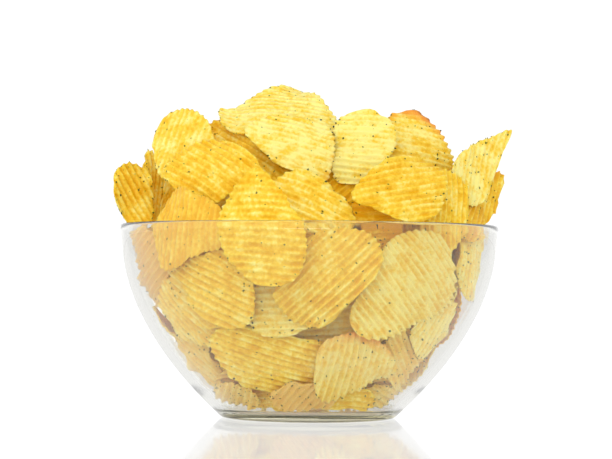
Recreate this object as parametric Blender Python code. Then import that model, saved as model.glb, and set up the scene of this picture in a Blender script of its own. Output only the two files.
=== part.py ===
"""A turned glass bowl heaped with ridged potato crisps.

Metres, +Z up. The origin is the middle of the bowl's underside, which stands on Z = 0, and
the bowl is turned about Z. Crisps are described as somebody in front of the bowl, on the
-Y side, sees them.
"""

import random
from math import cos, hypot, pi, radians, sin, tan
from typing import NamedTuple

import bmesh
import bpy
from mathutils import Matrix, Vector

# Glass bowl
BOWL_HEIGHT = 0.1016
RIM_RADIUS = 0.1000
FOOT_RADIUS = 0.0458
FLOOR_THICKNESS = 0.0055
WALL_AT_RIM = 0.0032
FLOOR_RADIUS = 0.0459
WALL_CURVE = 2.04
FOOT_CORNER = 0.0040
FLOOR_CORNER = 0.0070
TURN_STEPS = 48
WALL_STEPS = 8
CORNER_STEPS = 3
LIP_STEPS = 4

# Heap of crisps
GLASS_GAP = 0.0004
CORE_INSET = 0.0055
CORE_SHOULDER = 0.0850
CORE_TOP = 0.1510
DOME_CURVE = 2.0
CORE_TURN_STEPS = 18
CORE_WALL_STEPS = 4
CORE_DOME_STEPS = 4
LIP_CLEARANCE = 0.0020
PLATE_THICKNESS = 0.0030
PLATE_SIDES = 9
PLATE_INSET = 0.0045
PLATE_CLEARANCE = 0.0034
CRISP_LENGTH = 0.0540
CRISP_WIDTH = 0.0420
CRISP_BOW = 0.0050
GLASS_BOW = -0.0015
SEED = 6

CRISP_YELLOW = (0.84, 0.55, 0.13)
GLASS_TINT = (0.86, 0.90, 0.87)


class Crisp(NamedTuple):
    """Where one crisp lies: its middle, the way its face looks, its size and its bow.

    yaw turns the face from the front to the right and pitch turns it up; spin turns the
    long way of the crisp up from level. All three are in degrees. A positive bow bulges
    towards the way the face looks.
    """

    x: float
    y: float
    z: float
    yaw: float
    pitch: float
    spin: float
    length: float
    width: float
    bow: float


# The crisps that give the heap its outline above the rim, from the left to the right
FRONT_CRISPS = (
    Crisp(-0.0925, -0.030, 0.1165, 72, 12, 82, 0.042, 0.034, -0.007),
    Crisp(-0.0830, 0.004, 0.1220, -70, 15, 80, 0.048, 0.040, 0.004),
    Crisp(-0.0660, -0.018, 0.1410, -28, 28, 62, 0.048, 0.042, 0.006),
    Crisp(-0.0530, -0.052, 0.1270, -28, 30, -12, 0.056, 0.044, 0.007),
    Crisp(-0.0620, -0.072, 0.1110, -35, 20, 20, 0.044, 0.034, 0.004),
    Crisp(-0.0165, -0.012, 0.1610, -4, 54, 6, 0.063, 0.046, 0.006),
    Crisp(-0.0120, -0.043, 0.1380, 4, 38, -22, 0.056, 0.040, 0.005),
    Crisp(-0.0240, -0.0885, 0.0990, -14, 6, 92, 0.057, 0.042, 0.004),
    Crisp(0.0020, -0.075, 0.1130, 3, 34, -18, 0.048, 0.036, 0.005),
    Crisp(0.0240, -0.048, 0.1380, 10, 40, 60, 0.046, 0.034, 0.004),
    Crisp(0.0300, -0.014, 0.1520, 20, 45, -12, 0.046, 0.034, 0.004),
    Crisp(0.0590, -0.010, 0.1470, 35, 32, 70, 0.048, 0.040, 0.005),
    Crisp(0.0440, -0.068, 0.1185, 26, 28, 12, 0.051, 0.042, 0.006),
    Crisp(0.0860, -0.016, 0.1320, -42, 22, 55, 0.052, 0.036, -0.005),
    Crisp(0.0900, 0.006, 0.1180, 62, 8, 75, 0.044, 0.034, -0.007),
    Crisp(0.0730, -0.046, 0.1120, 48, 16, 70, 0.040, 0.034, 0.004),
)

# The far side of the heap: how far round, out and up, and the pitch, of each rank
BACK_RANKS = (
    (8, 0.084, 0.117, 10, 0.4),
    (6, 0.066, 0.139, 34, 0.9),
    (4, 0.034, 0.157, 58, 0.7),
)
BACK_ARC = (105.0, 260.0)

# Crisps that lie along the glass: how many, and how high their middles are
GLASS_RANKS = ((5, 0.027, 0.1), (7, 0.052, 0.4), (8, 0.079, 0.0))


def clear_scene() -> None:
    """Remove everything that the scene holds."""
    for thing in list(bpy.data.objects):
        bpy.data.objects.remove(thing, do_unlink=True)


def material(name: str, colour: tuple, roughness: float, transmission: float = 0.0):
    """Make a Principled material."""
    made = bpy.data.materials.new(name)
    made.use_nodes = True
    shader = made.node_tree.nodes["Principled BSDF"]
    shader.inputs["Base Color"].default_value = (*colour, 1.0)
    shader.inputs["Roughness"].default_value = roughness
    shader.inputs["Metallic"].default_value = 0.0
    shader.inputs["Transmission Weight"].default_value = transmission
    return made


def outer_radius(height: float) -> float:
    """Radius of the bowl's outside at a height."""
    rise = min(max(height / BOWL_HEIGHT, 0.0), 1.0)
    return FOOT_RADIUS + (RIM_RADIUS - FOOT_RADIUS) * (1.0 - (1.0 - rise) ** WALL_CURVE)


def inner_radius(height: float) -> float:
    """Radius of the bowl's inside at a height."""
    rise = (height - FLOOR_THICKNESS) / (BOWL_HEIGHT - FLOOR_THICKNESS)
    rise = min(max(rise, 0.0), 1.0)
    rim = RIM_RADIUS - WALL_AT_RIM
    return FLOOR_RADIUS + (rim - FLOOR_RADIUS) * (1.0 - (1.0 - rise) ** WALL_CURVE)


def dome_radius(height: float) -> float:
    """Radius of the heap's core at a height above the rim."""
    rise = min(max((height - BOWL_HEIGHT) / (CORE_TOP - BOWL_HEIGHT), 0.0), 1.0)
    return CORE_SHOULDER * (1.0 - rise ** DOME_CURVE) ** (1.0 / DOME_CURVE)


def steps(low: float, high: float, count: int) -> list:
    """Evenly spaced values from low to high, both included."""
    return [low + (high - low) * index / count for index in range(count + 1)]


def rounded_corner(before: tuple, corner: tuple, after: tuple, radius: float) -> list:
    """Points of the arc that rounds a corner between two straight stretches."""
    at = Vector(corner)
    back = (Vector(before) - at).normalized()
    ahead = (Vector(after) - at).normalized()
    half = back.angle(ahead) / 2.0
    reach = radius / tan(half)
    middle = at + (back + ahead).normalized() * (radius / sin(half))
    first = (at + back * reach - middle).angle_signed(Vector((1.0, 0.0)))
    turn = (at + back * reach - middle).angle_signed(at + ahead * reach - middle)
    points = []
    for angle in steps(first, first - turn, CORNER_STEPS):
        points.append((middle.x + radius * cos(angle), middle.y + radius * sin(angle)))
    return points


def bowl_profile() -> list:
    """Radius and height from the floor's middle, over the lip, to the underside's middle."""
    lip = WALL_AT_RIM / 2.0
    lip_height = BOWL_HEIGHT - lip
    low = FLOOR_THICKNESS + 0.012
    inside = [(inner_radius(z), z) for z in steps(low, lip_height, WALL_STEPS)]
    low = 0.009
    outside = [(outer_radius(z), z) for z in steps(lip_height, low, WALL_STEPS)]
    arc = []
    for angle in steps(pi, 0.0, LIP_STEPS)[1:-1]:
        arc.append((RIM_RADIUS - lip + lip * cos(angle), lip_height + lip * sin(angle)))
    floor_corner = (FLOOR_RADIUS, FLOOR_THICKNESS)
    foot_corner = (FOOT_RADIUS, 0.0)
    profile = [(0.0, FLOOR_THICKNESS)]
    profile += rounded_corner(profile[0], floor_corner, inside[0], FLOOR_CORNER)
    profile += inside + arc + outside
    profile += rounded_corner(outside[-1], foot_corner, (0.0, 0.0), FOOT_CORNER)
    return profile + [(0.0, 0.0)]


def core_profile() -> list:
    """Radius and height of the heap's core, from its top to its underside."""
    base = FLOOR_THICKNESS + 2.0 * GLASS_GAP
    dome = [(dome_radius(z), z) for z in steps(CORE_TOP, BOWL_HEIGHT, CORE_DOME_STEPS)]
    low = FLOOR_THICKNESS + 0.008
    wall = []
    for z in steps(BOWL_HEIGHT - 0.004, low, CORE_WALL_STEPS):
        wall.append((inner_radius(z) - CORE_INSET, z))
    return dome + wall + [(FLOOR_RADIUS - 0.004, base), (0.0, base)]


def clear_radius(height: float) -> float:
    """How far from the axis a crisp's middle sheet may be: inside the glass, over the lip."""
    above = max(height - BOWL_HEIGHT - LIP_CLEARANCE, 0.0)
    return inner_radius(height) - PLATE_CLEARANCE + above


def new_object(name: str, mesh):
    """Put a mesh in the scene as an object."""
    made = bpy.data.objects.new(name, mesh)
    bpy.context.collection.objects.link(made)
    return made


def turned(name: str, profile: list, turn_steps: int):
    """Turn a profile about Z, with the Screw modifier."""
    mesh = bpy.data.meshes.new(name)
    points = [(radius, 0.0, height) for radius, height in profile]
    edges = [(index, index + 1) for index in range(len(points) - 1)]
    mesh.from_pydata(points, edges, [])
    made = new_object(name, mesh)
    screw = made.modifiers.new("turn", "SCREW")
    screw.steps = turn_steps
    screw.render_steps = turn_steps
    screw.use_merge_vertices = True
    screw.merge_threshold = 0.00005
    return made


def as_guide(thing) -> None:
    """Mark an object as a guide that only shapes another one."""
    thing.hide_render = True
    thing.display_type = "WIRE"


def bake(thing) -> None:
    """Replace an object's mesh with what its modifiers make of it."""
    bpy.context.view_layer.update()
    graph = bpy.context.evaluated_depsgraph_get()
    mesh = bpy.data.meshes.new_from_object(thing.evaluated_get(graph))
    thing.modifiers.clear()
    thing.data = mesh


def unite(thing, other) -> None:
    """Add a Boolean that joins another object to a thing."""
    step = thing.modifiers.new(other.name, "BOOLEAN")
    step.operation = "UNION"
    step.object = other
    step.solver = "EXACT"


def crisp_matrix(crisp: Crisp) -> Matrix:
    """Place of a crisp: x along its length, y across it and z out of its face."""
    yaw, pitch, spin = radians(crisp.yaw), radians(crisp.pitch), radians(crisp.spin)
    level = Vector((cos(yaw), sin(yaw), 0.0))
    face = Vector((sin(yaw) * cos(pitch), -cos(yaw) * cos(pitch), sin(pitch)))
    upward = face.cross(level)
    along = level * cos(spin) + upward * sin(spin)
    across = upward * cos(spin) - level * sin(spin)
    matrix = Matrix((along, across, face)).transposed().to_4x4()
    matrix.translation = (crisp.x, crisp.y, crisp.z)
    return matrix


def crisp_plate(name: str, crisp: Crisp):
    """One crisp: a bent oval sheet with thickness."""
    shape = bmesh.new()
    middle = shape.verts.new((0.0, 0.0, crisp.bow))
    rings = []
    for share in (0.55, 1.0):
        ring = []
        for index in range(PLATE_SIDES):
            angle = 2.0 * pi * index / PLATE_SIDES
            x = crisp.length / 2.0 * share * cos(angle)
            y = crisp.width / 2.0 * share * sin(angle)
            drop = (2.0 * x / crisp.length) ** 2 + 0.3 * (2.0 * y / crisp.width) ** 2
            ring.append(shape.verts.new((x, y, crisp.bow * (1.0 - drop))))
        rings.append(ring)
    for index in range(PLATE_SIDES):
        after = (index + 1) % PLATE_SIDES
        shape.faces.new((middle, rings[0][index], rings[0][after]))
        shape.faces.new((rings[0][index], rings[1][index], rings[1][after], rings[0][after]))
    mesh = bpy.data.meshes.new(name)
    shape.to_mesh(mesh)
    shape.free()
    mesh.transform(crisp_matrix(crisp))
    lowest = FLOOR_THICKNESS + PLATE_THICKNESS / 2.0 + 2.0 * GLASS_GAP
    for vertex in mesh.vertices:
        vertex.co.z = max(vertex.co.z, lowest)
        shrink = min(clear_radius(vertex.co.z) / hypot(vertex.co.x, vertex.co.y), 1.0)
        vertex.co.x *= shrink
        vertex.co.y *= shrink
    made = new_object(name, mesh)
    sheet = made.modifiers.new("thickness", "SOLIDIFY")
    sheet.thickness = PLATE_THICKNESS
    sheet.offset = 0.0
    as_guide(made)
    return made


def varied(random_source, x: float, y: float, z: float, yaw: float, pitch: float) -> Crisp:
    """A crisp of uneven size near a place."""
    return Crisp(
        x=x,
        y=y,
        z=z,
        yaw=yaw + random_source.uniform(-14.0, 14.0),
        pitch=pitch + random_source.uniform(-8.0, 8.0),
        spin=random_source.uniform(-90.0, 90.0),
        length=CRISP_LENGTH * random_source.uniform(0.88, 1.10),
        width=CRISP_WIDTH * random_source.uniform(0.88, 1.08),
        bow=CRISP_BOW * random_source.uniform(0.6, 1.4),
    )


def back_crisps(random_source) -> list:
    """The far side of the heap, in ranks that close in towards the top."""
    crisps = []
    first, last = BACK_ARC
    for count, out, height, pitch, shift in BACK_RANKS:
        for index in range(count):
            yaw = first + (last - first) * (index + 0.5 * shift) / (count - 1 + 0.5 * shift)
            x, y = out * sin(radians(yaw)), -out * cos(radians(yaw))
            rise = height + random_source.uniform(-0.004, 0.004)
            crisps.append(varied(random_source, x, y, rise, yaw, pitch))
    return crisps


def glass_crisps(random_source) -> list:
    """The crisps that lie along the inside of the glass, in three ranks."""
    crisps = []
    for count, height, shift in GLASS_RANKS:
        slope = (inner_radius(height + 0.01) - inner_radius(height - 0.01)) / 0.02
        lean = -radians(90.0) + Vector((slope, 1.0)).angle(Vector((1.0, 0.0)))
        out = inner_radius(height) - PLATE_INSET
        for index in range(count):
            yaw = 360.0 * (index + shift) / count
            x, y = out * sin(radians(yaw)), -out * cos(radians(yaw))
            crisp = varied(random_source, x, y, height, yaw, lean * 180.0 / pi)
            crisps.append(crisp._replace(bow=GLASS_BOW))
    return crisps


def keep_outer_skin(mesh) -> None:
    """Drop every closed-off part but the largest, so that no hidden hollow is left."""
    shape = bmesh.new()
    shape.from_mesh(mesh)
    left = set(shape.faces)
    parts = []
    while left:
        part = {left.pop()}
        border = list(part)
        while border:
            face = border.pop()
            for edge in face.edges:
                for other in edge.link_faces:
                    if other not in part:
                        part.add(other)
                        border.append(other)
        left -= part
        parts.append(part)
    parts.sort(key=len, reverse=True)
    for part in parts[1:]:
        bmesh.ops.delete(shape, geom=list(part), context="FACES")
    shape.to_mesh(mesh)
    shape.free()


def make_bowl():
    """The clear glass bowl, with its flat foot and its rounded lip."""
    bowl = turned("bowl", bowl_profile(), TURN_STEPS)
    bake(bowl)
    bowl.data.shade_smooth()
    bowl.data.set_sharp_from_angle(angle=radians(40.0))
    bowl.data.materials.append(material("soda_lime_glass", GLASS_TINT, 0.02, 0.9))
    return bowl


def make_crisps():
    """The whole heap: a core, and the crisps that lie round it."""
    random_source = random.Random(SEED)
    heap = turned("crisps", core_profile(), CORE_TURN_STEPS)
    crisps = list(FRONT_CRISPS) + back_crisps(random_source) + glass_crisps(random_source)
    plates = []
    for index, crisp in enumerate(crisps):
        plate = crisp_plate(f"plate_{index:02d}", crisp)
        unite(heap, plate)
        plates.append(plate)
    bake(heap)
    for plate in plates:
        bpy.data.objects.remove(plate, do_unlink=True)
    keep_outer_skin(heap.data)
    heap.data.materials.clear()
    heap.data.materials.append(material("fried_potato", CRISP_YELLOW, 0.55))
    return heap


def main() -> None:
    """Build the bowl and its heap of crisps."""
    clear_scene()
    make_bowl()
    make_crisps()


main()
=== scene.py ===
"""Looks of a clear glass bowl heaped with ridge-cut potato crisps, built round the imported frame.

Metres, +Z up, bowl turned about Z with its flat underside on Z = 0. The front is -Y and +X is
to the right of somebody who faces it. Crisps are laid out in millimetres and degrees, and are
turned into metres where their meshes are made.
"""

import logging
import random
from dataclasses import dataclass, field, replace
from enum import Enum
from itertools import product
from math import ceil, cos, hypot, pi, radians, sin, sqrt, tan

import bpy
import numpy as np
from mathutils import Matrix, Vector
from mathutils.bvhtree import BVHTree


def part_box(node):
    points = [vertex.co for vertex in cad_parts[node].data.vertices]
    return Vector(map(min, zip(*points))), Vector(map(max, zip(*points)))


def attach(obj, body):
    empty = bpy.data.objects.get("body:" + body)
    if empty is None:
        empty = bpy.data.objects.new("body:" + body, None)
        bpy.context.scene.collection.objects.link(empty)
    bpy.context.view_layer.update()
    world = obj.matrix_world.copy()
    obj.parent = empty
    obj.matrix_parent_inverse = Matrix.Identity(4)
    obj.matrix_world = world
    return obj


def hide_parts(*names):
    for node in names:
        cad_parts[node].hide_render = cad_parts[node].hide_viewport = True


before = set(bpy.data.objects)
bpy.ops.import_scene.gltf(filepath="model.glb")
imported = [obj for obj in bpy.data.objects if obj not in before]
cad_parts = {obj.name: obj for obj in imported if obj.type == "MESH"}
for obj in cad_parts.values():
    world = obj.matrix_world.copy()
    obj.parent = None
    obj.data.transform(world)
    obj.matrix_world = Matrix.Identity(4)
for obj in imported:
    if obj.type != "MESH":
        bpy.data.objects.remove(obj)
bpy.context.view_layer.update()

log = logging.getLogger("bowl_of_crisps")

MM = 0.001

# Where the heap is looked at from, in millimetres before the axis and over the table, and
# how far from there the outlines of crisps are true to size.
EYE_DISTANCE = 1107.0
EYE_HEIGHT = 74.7
SIGHT = 1043.5

# Outlines are worked out at this many even angles.
OUTLINE_STEPS = 720

# How finely the stand-ins for crisps are cut, and how many lines of sight to them are tried.
STAND_IN_FINENESS = 0.25
SIGHT_LINES = 24

# Room kept between crisps and glass, how far over the rim it is kept, and how much of it may
# be lacking, in metres, after this many moves.
CLEAR_OF_GLASS = 0.0009
OVER_RIM = 0.0004
SETTLED = 0.0001
SETTLING_STEPS = 4

# How far back a crisp laid one by one may go, in millimetres, and the turns and tilts tried
# there, in degrees. Crossings are counted up to a limit, and small moves are not logged.
STEPS_BACK = range(0, 26, 2)
LEANS = ((0, 0), (-7, 0), (7, 0), (0, -7), (0, 7), (-13, -6), (-13, 6), (13, -6), (13, 6))
MANY_CROSSINGS = 400
WORTH_LOGGING = 5.0


# ----------------------------------------------------------------------------------------
# Small helpers
# ----------------------------------------------------------------------------------------


def linear(colour: str) -> tuple[float, float, float, float]:
    """Turn an sRGB hex colour into linear red, green, blue and alpha.

    Args:
        colour: six hex digits after a hash, such as "#f6d973".

    Returns:
        The linear colour with an alpha of 1.
    """
    parts = [int(colour[start : start + 2], 16) / 255.0 for start in (1, 3, 5)]
    bent = [part / 12.92 if part <= 0.04045 else ((part + 0.055) / 1.055) ** 2.4 for part in parts]
    return (bent[0], bent[1], bent[2], 1.0)


def add_node(
    tree: bpy.types.NodeTree, kind: str, links: dict | None = None, **settings: object
) -> bpy.types.Node:
    """Add a node with its settings and links.

    Args:
        tree: the node tree that gets the node.
        kind: the node's type name.
        links: for each input, by name or number, a value or the output that feeds it.
        settings: the node's own properties.

    Returns:
        The new node.
    """
    node = tree.nodes.new(kind)
    for name, value in settings.items():
        setattr(node, name, value)
    for name, value in (links or {}).items():
        if isinstance(value, bpy.types.NodeSocket):
            tree.links.new(value, node.inputs[name])
        else:
            node.inputs[name].default_value = value
    return node


def new_material(name: str) -> tuple[bpy.types.Material, bpy.types.NodeTree]:
    """Make a material with an empty node tree.

    Args:
        name: the material's name.

    Returns:
        The material and its node tree.
    """
    made = bpy.data.materials.new(name)
    made.use_nodes = True
    made.node_tree.nodes.clear()
    return made, made.node_tree


def mesh_object(name: str, points: np.ndarray, faces: list) -> bpy.types.Object:
    """Make a smooth-shaded mesh object.

    Args:
        name: the object's name.
        points: vertex places, one row each, in metres.
        faces: lists of vertex numbers.

    Returns:
        The object, linked to the scene.
    """
    mesh = bpy.data.meshes.new(name)
    mesh.from_pydata(points.tolist(), [], faces)
    mesh.validate()
    mesh.shade_smooth()
    made = bpy.data.objects.new(name, mesh)
    bpy.context.scene.collection.objects.link(made)
    return made


def paint(mesh: bpy.types.Mesh, name: str, values: np.ndarray) -> None:
    """Store one colour for each vertex of a mesh.

    Args:
        mesh: the mesh to paint.
        name: the attribute's name.
        values: four numbers for each vertex.
    """
    layer = mesh.attributes.new(name, "FLOAT_COLOR", "POINT")
    layer.data.foreach_set("color", values.astype(np.float32).ravel())


def steps(low: float, high: float, count: int) -> list[float]:
    """Evenly spaced values from low to high, both included."""
    return [low + (high - low) * index / count for index in range(count + 1)]


# ----------------------------------------------------------------------------------------
# Finishes
# ----------------------------------------------------------------------------------------


@dataclass(frozen=True)
class SodaLimeGlass:
    """Pressed and fire-polished soda-lime glass: clear, with a faint grey-green cast."""

    tint: str = "#fdfdfb"
    cast: str = "#e9e7d3"
    density: float = 17.0
    ior: float = 1.52
    roughness: float = 0.0

    def material(self) -> bpy.types.Material:
        """Build the glass, which lets lamps and scattered light straight through.

        Returns:
            The material. To the eye it bends what is behind it at its edges and mirrors
            the studio in thin bright lines at the lip.
        """
        made, tree = new_material("soda_lime_glass")
        glass = add_node(
            tree,
            "ShaderNodeBsdfPrincipled",
            {
                "Base Color": linear(self.tint),
                "Roughness": self.roughness,
                "IOR": self.ior,
                "Transmission Weight": 1.0,
            },
        )
        rays = add_node(tree, "ShaderNodeLightPath")
        clear = add_node(tree, "ShaderNodeBsdfTransparent", {"Color": linear("#fdfefd")})
        scattered = add_node(
            tree,
            "ShaderNodeMath",
            {0: rays.outputs["Is Shadow Ray"], 1: rays.outputs["Is Diffuse Ray"]},
            operation="MAXIMUM",
        )
        mix = add_node(
            tree,
            "ShaderNodeMixShader",
            {0: scattered.outputs[0], 1: glass.outputs[0], 2: clear.outputs[0]},
        )
        cast = add_node(
            tree, "ShaderNodeVolumeAbsorption", {"Color": linear(self.cast), "Density": self.density}
        )
        add_node(
            tree,
            "ShaderNodeOutputMaterial",
            {"Surface": mix.outputs[0], "Volume": cast.outputs[0]},
        )
        return made


@dataclass(frozen=True)
class FriedPotato:
    """Potato sliced by a ridged blade and fried in oil, with crests painted paler as a painted highlight
    and troughs deeper gold as painted shade.

    The eye reads it from the soft glow of a thin slice that lets light in, from a faint
    sheen of oil, from mottling a few millimetres wide, and from rims that browned first.
    """

    pale: str = "#fdeb8c"
    golden: str = "#f7cf40"
    deep: str = "#e9b10c"
    blush: str = "#e8b86a"
    toasted: str = "#f0a03c"
    burnt: str = "#84481c"
    mottle_mm: float = 7.0
    grain_mm: float = 1.8
    roughness: float = 0.5

    def material(self) -> bpy.types.Material:
        """Build the crisp's surface from its painted crest, rim, fry and toast values.

        Returns:
            The material.
        """
        made, tree = new_material("fried_potato")
        look = add_node(tree, "ShaderNodeAttribute", attribute_name="look")
        parts = add_node(tree, "ShaderNodeSeparateColor", {0: look.outputs["Color"]})
        crest, rim, fry = parts.outputs[0], parts.outputs[1], parts.outputs[2]
        toast = look.outputs["Alpha"]
        hue = add_node(tree, "ShaderNodeAttribute", attribute_name="hue")
        hues = add_node(tree, "ShaderNodeSeparateColor", {0: hue.outputs["Color"]})
        place = add_node(tree, "ShaderNodeTexCoord").outputs["Object"]
        mottle = self.noise(tree, place, self.mottle_mm, 3.0)
        grain = self.noise(tree, place, self.grain_mm, 2.0)

        # crest paints ridge tops paler and troughs deeper gold: a painted highlight and painted shade of
        # the ridges.
        depth = self.sum_of(
            tree, ((fry, 1.0), (mottle, 1.6), (grain, 1.1), (crest, -0.26), (rim, 0.08)), -1.20
        )
        ramp = add_node(tree, "ShaderNodeValToRGB", {0: depth})
        ramp.color_ramp.elements[0].position = 0.05
        ramp.color_ramp.elements[0].color = linear(self.pale)
        ramp.color_ramp.elements[1].position = 0.95
        ramp.color_ramp.elements[1].color = linear(self.deep)
        middle = ramp.color_ramp.elements.new(0.50)
        middle.color = linear(self.golden)

        blushed = self.mixed(tree, hues.outputs[0], ramp.outputs[0], linear(self.blush))
        heat = self.sum_of(tree, ((toast, 1.5), (mottle, 0.9), (grain, 0.3)), -0.95)
        browned = self.mixed(tree, heat, blushed, linear(self.toasted))
        char = self.sum_of(tree, ((toast, 2.2), (mottle, 1.1), (grain, 0.5)), -2.90)
        colour = self.mixed(tree, char, browned, linear(self.burnt))

        bump = add_node(
            tree,
            "ShaderNodeBump",
            {"Strength": 0.6, "Distance": 0.5 * MM, "Height": grain},
        )
        shader = add_node(
            tree,
            "ShaderNodeBsdfPrincipled",
            {
                "Base Color": colour,
                "Roughness": self.roughness,
                "IOR": 1.45,
                "Specular IOR Level": 0.4,
                "Subsurface Weight": 0.45,
                "Subsurface Radius": (1.0, 0.82, 0.32),
                "Subsurface Scale": 2.2 * MM,
                "Normal": bump.outputs[0],
            },
        )
        add_node(tree, "ShaderNodeOutputMaterial", {"Surface": shader.outputs[0]})
        return made

    def noise(
        self, tree: bpy.types.NodeTree, place: bpy.types.NodeSocket, size_mm: float, detail: float
    ) -> bpy.types.NodeSocket:
        """A noise whose patches are about size_mm across, from 0 to 1."""
        made = add_node(
            tree, "ShaderNodeTexNoise", {"Vector": place, "Scale": 1.0 / (size_mm * MM), "Detail": detail}
        )
        return made.outputs[0]

    def sum_of(
        self, tree: bpy.types.NodeTree, shares: tuple, start: float
    ) -> bpy.types.NodeSocket:
        """Add up weighted values.

        Args:
            tree: the node tree.
            shares: pairs of an output and its weight.
            start: what is added to them.

        Returns:
            The sum, kept between 0 and 1.
        """
        total: float | bpy.types.NodeSocket = start
        for socket, weight in shares:
            added = add_node(
                tree, "ShaderNodeMath", {0: socket, 1: weight, 2: total}, operation="MULTIPLY_ADD"
            )
            total = added.outputs[0]
        return add_node(tree, "ShaderNodeClamp", {0: total}).outputs[0]

    def mixed(
        self, tree: bpy.types.NodeTree, share: bpy.types.NodeSocket, first: object, second: object
    ) -> bpy.types.NodeSocket:
        """Mix two colours by a share."""
        made = add_node(
            tree, "ShaderNodeMix", {0: share, 6: first, 7: second}, data_type="RGBA"
        )
        return made.outputs[2]


@dataclass(frozen=True)
class DriedHerb:
    """Rubbed dried herb: matt flakes from leaf green to nearly black."""

    green: str = "#5c6b22"
    dark: str = "#241f0e"
    roughness: float = 0.8

    def material(self) -> bpy.types.Material:
        """Build the flakes' surface, whose shade is painted flake by flake.

        Returns:
            The material.
        """
        made, tree = new_material("dried_herb")
        look = add_node(tree, "ShaderNodeAttribute", attribute_name="look")
        parts = add_node(tree, "ShaderNodeSeparateColor", {0: look.outputs["Color"]})
        colour = add_node(
            tree,
            "ShaderNodeMix",
            {0: parts.outputs[0], 6: linear(self.dark), 7: linear(self.green)},
            data_type="RGBA",
        )
        shader = add_node(
            tree,
            "ShaderNodeBsdfPrincipled",
            {"Base Color": colour.outputs[2], "Roughness": self.roughness},
        )
        add_node(tree, "ShaderNodeOutputMaterial", {"Surface": shader.outputs[0]})
        return made


@dataclass(frozen=True)
class GlossAcrylic:
    """White cast acrylic lit from below: an even white that mirrors a little."""

    white: str = "#ffffff"
    glow: float = 1.02
    glow_through_glass: float = 0.54
    glow_in_mirrors: float = 0.72
    mirror: float = 0.43
    roughness: float = 0.06

    def material(self) -> bpy.types.Material:
        """Build the sheet under the bowl.

        Returns:
            The material. The eye sees plain white, with a soft mirror image of the bowl.
        """
        made, tree = new_material("gloss_acrylic")
        rays = add_node(tree, "ShaderNodeLightPath")
        mirrored = add_node(
            tree,
            "ShaderNodeMix",
            {0: rays.outputs["Is Glossy Ray"], 2: self.glow, 3: self.glow_in_mirrors},
        )
        brightness = add_node(
            tree,
            "ShaderNodeMix",
            {
                0: rays.outputs["Is Transmission Ray"],
                2: mirrored.outputs[0],
                3: self.glow_through_glass,
            },
        )
        glow = add_node(
            tree, "ShaderNodeEmission", {"Color": linear(self.white), "Strength": brightness.outputs[0]}
        )
        mirror = add_node(
            tree,
            "ShaderNodeBsdfGlossy",
            {"Color": linear(self.white), "Roughness": self.roughness},
        )
        mix = add_node(
            tree, "ShaderNodeMixShader", {0: self.mirror, 1: glow.outputs[0], 2: mirror.outputs[0]}
        )
        add_node(tree, "ShaderNodeOutputMaterial", {"Surface": mix.outputs[0]})
        return made


# ----------------------------------------------------------------------------------------
# The glass bowl
# ----------------------------------------------------------------------------------------


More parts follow.
